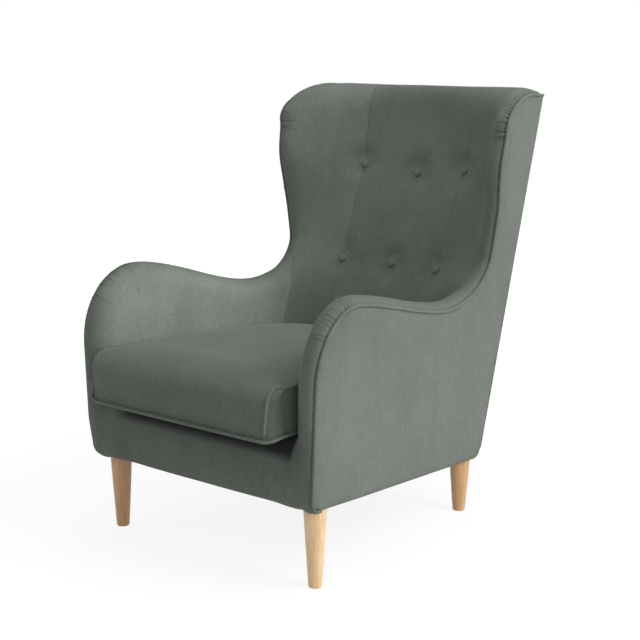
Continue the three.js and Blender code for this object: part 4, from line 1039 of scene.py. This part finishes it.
def cushion_top_line():
    """Up the right front corner, round the top and down the left front corner."""
    out = CUSHION_PIPING_SEAT
    rise = []
    turn = math.pi / 2 * CORD_STEP / CORNER_STEPS
    for share in np.linspace(0, 1, 40)[:-1]:
        below, here, above = (ring_of(cushion_level(min(1, max(0, share + step))))[CORD_STEP]
                              for step in (-0.02, 0, 0.02))
        slope = math.atan2(above[1] - below[1], above[2] - below[2])
        reach = out + PIPING_RADIUS / 2 * 0.6
        level = reach * math.cos(slope)
        rise.append(here + (level * math.sin(turn), -level * math.cos(turn), reach * math.sin(slope)))
    rise = np.array(rise)
    rise = rise[rise[:, 2] > 2.6 * PIPING_RADIUS]
    _, front_inset, rear_inset, _ = cushion_level(1)
    plan = cushion_plan(-out * 1.2, front_inset - out * 1.2, rear_inset - out * 1.2)
    loop = plan[CORD_STEP + 1:2 * SIDE_POINTS + ACROSS_STEPS - CORD_STEP - 2]
    loop = sagged(np.column_stack([loop, np.full(len(loop), CUSHION_HEIGHT + 0.0008)]))
    return np.concatenate([rise, loop, rise[::-1] * (-1, 1, 1)])


def cushion_bottom_line():
    """A loop that starts and ends at the middle of the rear."""
    out = CUSHION_PIPING_SEAT
    lean = CUSHION_REAR_LEAN * 2 * out / CUSHION_HEIGHT
    plan = cushion_plan(-out, -out, -out - lean)
    start = SIDE_POINTS + ACROSS_STEPS // 2 - 1
    turned = np.concatenate([plan[start:], plan[:start - 1]])
    return sagged(np.column_stack([turned, np.full(len(turned), PIPING_RADIUS + GAP)]))


def cushion_piping(name, line):
    points, faces = cord(line)
    return new_piece(name, laid(points), faces)


# Buttons and legs
def button(x, z, name):
    """Cloth-covered button with a soft rim, seated in its tuft."""
    def at(dx, dz):
        corner_x, corner_y = inner_corner(z + dz)
        share = (x + dx) / corner_x
        return float(corner_y + (inner_back_y(z + dz) - corner_y) * math.sqrt(1 - share * share))
    step = 0.001
    normal = Vector(((at(step, 0) - at(-step, 0)) / (2 * step), -1,
                     (at(0, step) - at(0, -step)) / (2 * step)))
    turn = Vector((0, 0, 1)).rotation_difference(normal.normalized()).to_matrix()
    centre = Vector((x, at(0, 0) + TUFT_DEPTH, z))
    rings = []
    for radius, height in BUTTON_PROFILE:
        ring = []
        for k in range(BUTTON_SIDES):
            angle = 2 * math.pi * k / BUTTON_SIDES
            out = radius * BUTTON_RADIUS * (1 + 0.012 * math.cos(9 * angle) * (height < 0.6))
            local = Vector((out * math.cos(angle), out * math.sin(angle), height * BUTTON_HEIGHT))
            ring.append(centre + turn @ local)
        rings.append(ring)
    return new_piece(name, *loft(rings))


def turned_leg(name, x, y):
    foot_z, top_z = LEG_FOOT_PROFILE[-1][1], underside_z(y) + FRAME_LIFT - GAP
    profile = [(LEG_FOOT_RADIUS * share, z) for share, z in LEG_FOOT_PROFILE]
    profile += [(mix(LEG_FOOT_RADIUS, LEG_TOP_RADIUS, t) + 0.0004 * math.sin(math.pi * t), mix(foot_z, top_z, t))
                for t in np.linspace(0.03, 1, 30)]
    angle = np.linspace(0, 2 * math.pi, LEG_SIDES, endpoint=False)
    rings = [np.column_stack([x + r * np.cos(angle), y + r * np.sin(angle), np.full(LEG_SIDES, z)])
             for r, z in profile]
    return new_piece(name, *loft(rings))


# Materials
class Nodes:
    """Short way to lay out the nodes of a material or of the world."""

    def __init__(self, owner):
        self.owner = owner
        owner.use_nodes = True
        owner.node_tree.nodes.clear()

    def add(self, kind, inputs=None, **settings):
        """A node with its settings, and with its inputs linked or set."""
        tree = self.owner.node_tree
        node = tree.nodes.new("ShaderNode" + kind)
        for key, value in settings.items():
            setattr(node, key, value)
        for key, value in (inputs or {}).items():
            if isinstance(value, bpy.types.NodeSocket):
                tree.links.new(value, node.inputs[key])
            else:
                node.inputs[key].default_value = value
        return node

    def maths(self, operation, *values):
        return self.add("Math", dict(enumerate(values)), operation=operation).outputs[0]

    def weighted(self, *terms):
        """Sum of a few values, each given as (value, weight)."""
        total, *others = (self.maths("MULTIPLY", *term) for term in terms)
        for other in others:
            total = self.maths("ADD", total, other)
        return total

    def noise(self, scale, detail, roughness, distortion=0.0, squeeze=1.0):
        """Noise in the piece's own coordinates, which a squeeze below 1 draws out along Z."""
        place = self.add("TexCoord").outputs["Object"]
        if squeeze != 1:
            place = self.add("Mapping", {"Vector": place, "Scale": (1, 1, squeeze)}).outputs[0]
        return self.add("TexNoise", {"Vector": place, "Scale": scale, "Detail": detail, "Roughness": roughness,
                                     "Distortion": distortion}).outputs["Fac"]

    def ramp(self, value, stops):
        node = self.add("ValToRGB", {0: value})
        elements = node.color_ramp.elements
        elements[0].position, elements[0].color = stops[0]
        elements[1].position, elements[1].color = stops[-1]
        for position, color in stops[1:-1]:
            elements.new(position).color = color
        return node.outputs[0]

    def blend(self, a, b, factor, mode="MIX"):
        return self.add("Mix", {0: factor, 6: a, 7: b}, data_type="RGBA", blend_type=mode).outputs[2]

    def covered(self, base, height, strength, distance, **inputs):
        """The material with its colour, its bump and what else its shader needs."""
        bump = self.add("Bump", {"Height": height, "Strength": strength, "Distance": distance}).outputs[0]
        inputs = {key.replace("_", " "): value for key, value in inputs.items()}
        shader = self.add("BsdfPrincipled", {"Base Color": base, "Normal": bump, **inputs})
        self.add("OutputMaterial", {"Surface": shader.outputs[0]})
        return self.owner


def srgb(red, green, blue):
    def linear(v):
        v /= 255
        return v / 12.92 if v <= 0.04045 else ((v + 0.055) / 1.055) ** 2.4
    return (linear(red), linear(green), linear(blue), 1)


def shade(color, factor):
    return tuple(v * factor for v in color[:3]) + (1,)


def grey(level):
    return (level, level, level, 1)


def velvet(name, color):
    """Short-pile velvet: clouds of brushed pile, short streaks and a fine uneven nap."""
    n = Nodes(bpy.data.materials.new(name))
    clouds = n.noise(9.0, 4.0, 0.6, 0.6, squeeze=0.7)
    brushed = n.noise(125.0, 3.0, 0.65, 0.5, squeeze=0.42)
    speck = n.noise(300.0, 2.0, 0.7, squeeze=0.6)
    pile = n.noise(1100.0, 2.0, 0.6)
    base = n.ramp(n.weighted((clouds, 0.34), (brushed, 0.26), (speck, 0.40)),
                  [(0.34, shade(color, 0.80)), (0.50, color), (0.66, shade(color, 1.20))])
    flecks = n.ramp(n.noise(430.0, 2.0, 0.5),
                    [(0.30, grey(0)), (0.36, grey(0.5)), (0.68, grey(0.5)), (0.76, grey(1))])
    base = n.blend(base, flecks, 0.24, "OVERLAY")
    # The stored painted light and shade multiply the colour.
    level = n.add("Attribute", attribute_name="painted_light_and_shade").outputs["Fac"]
    painted_light_and_shade = n.add("CombineColor", {0: level, 1: level, 2: level}).outputs[0]
    return n.covered(n.blend(base, painted_light_and_shade, 1.0, "MULTIPLY"), n.weighted((pile, 0.4), (brushed, 0.8)), 0.55, 0.0006,
                     Roughness=0.92, Specular_IOR_Level=0.20, Sheen_Weight=0.12, Sheen_Roughness=0.45,
                     Sheen_Tint=(0.78, 0.84, 0.78, 1))


def wood(name, light, dark, roughness, coat):
    """Straight-grained beech with short rays, grain along Z."""
    n = Nodes(bpy.data.materials.new(name))
    broad = n.noise(90.0, 4.0, 0.6, 0.6, squeeze=0.06)
    fine = n.noise(520.0, 3.0, 0.6, squeeze=0.05)
    rays = n.noise(900.0, 1.0, 0.5, squeeze=0.22)
    base = n.ramp(n.weighted((broad, 0.6), (fine, 0.4)), [(0.34, dark), (0.52, light), (0.70, shade(light, 1.06))])
    flecks = n.ramp(rays, [(0.66, grey(0)), (0.74, grey(1))])
    base = n.blend(base, shade(dark, 0.86), n.maths("MULTIPLY", flecks, 0.35))
    return n.covered(base, fine, 0.12, 0.0003, Roughness=roughness, Coat_Weight=coat, Coat_Roughness=0.25)


def plain_finish(name, color, roughness, scale, contrast, bump, metallic=0.0):
    n = Nodes(bpy.data.materials.new(name))
    grain = n.noise(scale, 4.0, 0.6)
    base = n.ramp(grain, [(0.3, shade(color, 1 - contrast)), (0.7, shade(color, 1 + contrast))])
    return n.covered(base, grain, bump, 0.0004, Roughness=roughness, Metallic=metallic)


VELVET = srgb(107, 113, 106)
skin_velvet = velvet("grey_green_velvet_skin", VELVET)
side_velvet = velvet("grey_green_velvet_side", VELVET)
cushion_velvet = velvet("grey_green_velvet_cushion", srgb(104, 110, 103))
piping_velvet = velvet("grey_green_velvet_piping", VELVET)
# Lit and shaded copies of one beech: the paler one is painted light, the warmer, darker one painted shade.
beech_painted_light = wood("lacquered_beech_painted_light", srgb(246, 212, 165), srgb(223, 179, 127), 0.42, 0.25)
beech_painted_shade = wood("lacquered_beech_painted_shade", srgb(220, 172, 124), srgb(196, 141, 93), 0.42, 0.25)
ply = wood("frame_plywood", srgb(200, 172, 130), srgb(176, 146, 104), 0.7, 0.0)
steel = plain_finish("drawn_steel_wire", srgb(120, 123, 127), 0.38, 600.0, 0.1, 0.2, metallic=1.0)
felt = plain_finish("needled_felt", srgb(138, 138, 134), 0.95, 700.0, 0.25, 0.6)
webbing = plain_finish("woven_webbing", srgb(74, 70, 64), 0.85, 900.0, 0.2, 0.6)
dust_cloth = plain_finish("black_dust_cloth", srgb(30, 30, 30), 0.95, 800.0, 0.3, 0.5)
zip_coil = plain_finish("zip_coil", srgb(60, 66, 61), 0.5, 900.0, 0.15, 0.2)


def follow_left(points):
    """Moves the left half out, its wing in at mid height and its arm down behind the nose."""
    x, y, z = (points - (0, SHIFT_Y, 0)).T
    left = np.clip(-x, 0, None)
    outer, high = ease(left - 0.22, 0.08), ease(z - 0.60, 0.10)
    no_wider = outer * np.maximum(high, ease(y - 0.02, 0.16))
    wider = ease(left, 0.15) * (1 - no_wider) * ease(z - 0.18, 0.10)
    narrower = outer * bell(z - 0.80, 0.09)
    dip = ease(left - 0.22, 0.04) * bell(y - 0.085, 0.135)
    dip = dip * ease(z - 0.36, 0.12) * (1 - high)
    return points + stacked(LEFT_HIGH_IN * narrower - LEFT_OUT * wider, 0 * y, -LEFT_DIP * dip)


def paint(thing, material):
    thing.data.materials.clear()
    thing.data.materials.append(material)


def dress(piece, material, body, slot, *nodes):
    """Gives a piece its cloth or wood and its body, and hides the solids that it stands for. A piece in any slot
    but leg_wood moves with the left half.
    """
    if slot != "leg_wood":
        set_positions(piece, follow_left(positions(piece)))
    paint(piece, material)
    if "painted_light_and_shade" not in piece.data.attributes:
        store_painted_light(piece)
    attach(piece, body)
    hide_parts(*nodes)
    return piece


# The pieces
arms = dress(arms_and_rail(), skin_velvet, "chair", "cover_cloth",
             "arm_pad_right", "arm_pad_left", "front_cover")
back = dress(wings_and_back(), skin_velvet, "chair", "cover_cloth",
             "wing_pad_right", "wing_pad_left", "back_pad")
deck_piece = dress(deck(), side_velvet, "chair", "cover_cloth", "deck_pad")
for side, word in ((1, "right"), (-1, "left")):
    dress(side_cover(side, f"outer_side_cover_{word}"), side_velvet, "chair", "cover_cloth",
          f"side_cover_{word}")
    dress(side_piping(side, f"arm_and_wing_piping_{word}"), piping_velvet, "chair", "piping_cloth",
          f"side_piping_{word}")
    for row, (x, y) in (("front", FRONT_LEG), ("rear", REAR_LEG)):
        # The front right leg, which the lamps reach, takes the beech painted light; the others, in the chair's
        # shade, take the beech painted shade.
        beech = beech_painted_light if (row, word) == ("front", "right") else beech_painted_shade
        dress(turned_leg(f"turned_leg_{row}_{word}", side * x, y), beech, "chair", "leg_wood",
              f"leg_{row}_{word}")
dress(back_cover(), side_velvet, "chair", "cover_cloth", "back_cover")
BUTTON_NAMES = [f"{row}_{column}" for row in ("upper", "lower") for column in ("left", "middle", "right")]
for word, (x, z) in zip(BUTTON_NAMES, button_places()):
    dress(button(x, z, f"covered_button_{word}"), piping_velvet, "chair", "cover_cloth", f"button_{word}")

cushion = dress(seat_cushion(), cushion_velvet, "cushion", "cushion_cloth", "seat_cushion")
dress(cushion_piping("cushion_upper_piping", cushion_top_line()), piping_velvet, "cushion",
      "piping_cloth", "cushion_top_piping")
dress(cushion_piping("cushion_lower_piping", cushion_bottom_line()), piping_velvet, "cushion",
      "piping_cloth", "cushion_bottom_piping")

# Hidden solids that are seen as they are, by how their names start
KEPT = (
    (ply, ("leg_block", "arm_stump", "arm_rail", "wing_plate", "side_rail", "back_post", "front_rail",
           "rear_rail", "lumbar_rail", "top_rail")),
    (steel, ("leg_bolt", "seat_spring")),
    (webbing, ("back_strap",)),
    (felt, ("spring_felt",)),
    (dust_cloth, ("dust_cover",)),
    (zip_coil, ("cushion_zip",)),
)
for name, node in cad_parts.items():
    for material, starts in KEPT:
        if name.startswith(starts):
            paint(node, material)


# Floor, light and camera, with places in the drawing frame for the camera alone
FLOOR_SIZE = 9
FLOOR_GLOW = (1.10, 1.30)
FLOOR_GLOW_PLACES = (0.7, 2.2)
FLOOR_GLOW_SHARE = 0.80
AMBIENT = 0.06
CAMERA_PLACE = (2.074, -2.419, 1.135)
CAMERA_TURN, CAMERA_PITCH = math.radians(39.76), math.radians(11.47)
SENSOR_WIDTH = 36
FOCAL_SHARE = 1390 / 640

# Each softbox with its place, the height that it is aimed at, its size and its power
SOFTBOXES = (
    ("low_side_softbox", (3.4, 0.4, 1.2), 0.5, (2.0, 1.6), 47),
    ("high_side_softbox", (2.7, 0.5, 3.0), 0.5, (2.0, 2.0), 52),
    ("overhead_softbox", (0.0, 0.2, 3.8), 0.4, (2.6, 2.6), 46),
    ("front_right_fill", (2.8, -2.8, 2.2), 0.5, (2.0, 2.0), 26),
    ("front_left_fill", (-2.8, -2.6, 2.4), 0.5, (2.0, 2.0), 40),
    ("rear_right_fill", (2.6, 2.6, 2.6), 0.5, (2.0, 2.0), 22),
    ("rear_left_fill", (-2.4, 3.2, 2.0), 0.5, (2.0, 2.0), 26),
)


def seen_by(nodes, *kinds):
    """1 for rays of these kinds."""
    rays = nodes.add("LightPath").outputs
    seen, *others = (rays[f"Is {kind} Ray"] for kind in kinds)
    for other in others:
        seen = nodes.maths("MAXIMUM", seen, other)
    return seen


def stage_floor():
    """A pale floor, which glows for the camera so that it looks as white as the air."""
    mesh = bpy.data.meshes.new("studio_floor")
    corners = [(x * FLOOR_SIZE, y * FLOOR_SIZE, 0) for x, y in ((-1, -1), (1, -1), (1, 1), (-1, 1))]
    mesh.from_pydata(corners, [], [(0, 1, 2, 3)])
    floor = placed("studio_floor", mesh)
    n = Nodes(bpy.data.materials.new("pale_studio_floor"))
    paper = n.add("BsdfPrincipled", {"Base Color": (0.80, 0.80, 0.80, 1), "Roughness": 0.9,
                                     "Specular IOR Level": 0.0})
    far_off = n.add("VectorMath", {0: n.add("TexCoord").outputs["Object"]}, operation="LENGTH")
    near, far = FLOOR_GLOW_PLACES
    strength = n.add("MapRange", {"Value": far_off.outputs["Value"], "From Min": near, "From Max": far,
                                  "To Min": FLOOR_GLOW[0], "To Max": FLOOR_GLOW[1]},
                     interpolation_type="SMOOTHSTEP")
    glow = n.add("Emission", {"Color": (1, 1, 1, 1), "Strength": strength.outputs["Result"]})
    share = n.maths("MULTIPLY", seen_by(n, "Camera", "Glossy", "Transmission"), FLOOR_GLOW_SHARE)
    blend = n.add("MixShader", {0: share, 1: paper.outputs[0], 2: glow.outputs[0]})
    n.add("OutputMaterial", {"Surface": blend.outputs[0]})
    mesh.materials.append(n.owner)


stage_floor()
for name, place, aim_z, size, power in SOFTBOXES:
    light = bpy.data.lights.new(name, "AREA")
    light.shape, light.energy = "RECTANGLE", power
    light.size, light.size_y = size
    lamp = placed(name, light)
    lamp.location = place
    lamp.rotation_euler = (Vector((0, 0, aim_z)) - Vector(place)).to_track_quat("-Z", "Y").to_euler()

# The air is white for the camera and a dim grey for all else
world = Nodes(bpy.data.worlds.new("studio"))
bpy.context.scene.world = world.owner
dim, white = (world.add("Background", {"Color": (1, 1, 1, 1), "Strength": strength}).outputs[0]
              for strength in (AMBIENT, 1.0))
air = world.add("MixShader", {0: seen_by(world, "Camera", "Transmission"), 1: dim, 2: white})
world.add("OutputWorld", {"Surface": air.outputs[0]})

camera = bpy.data.cameras.new("camera")
camera.sensor_width = SENSOR_WIDTH
camera.lens = FOCAL_SHARE * SENSOR_WIDTH
camera.clip_end = 50
eye = placed("camera", camera)
eye.location = (CAMERA_PLACE[0], CAMERA_PLACE[1] + SHIFT_Y, CAMERA_PLACE[2])
away = Vector((math.sin(CAMERA_TURN) * math.cos(CAMERA_PITCH), -math.cos(CAMERA_TURN) * math.cos(CAMERA_PITCH),
               math.sin(CAMERA_PITCH)))
eye.rotation_euler = away.to_track_quat("Z", "Y").to_euler()
bpy.context.scene.camera = eye
bpy.context.scene.view_settings.view_transform = "Standard"
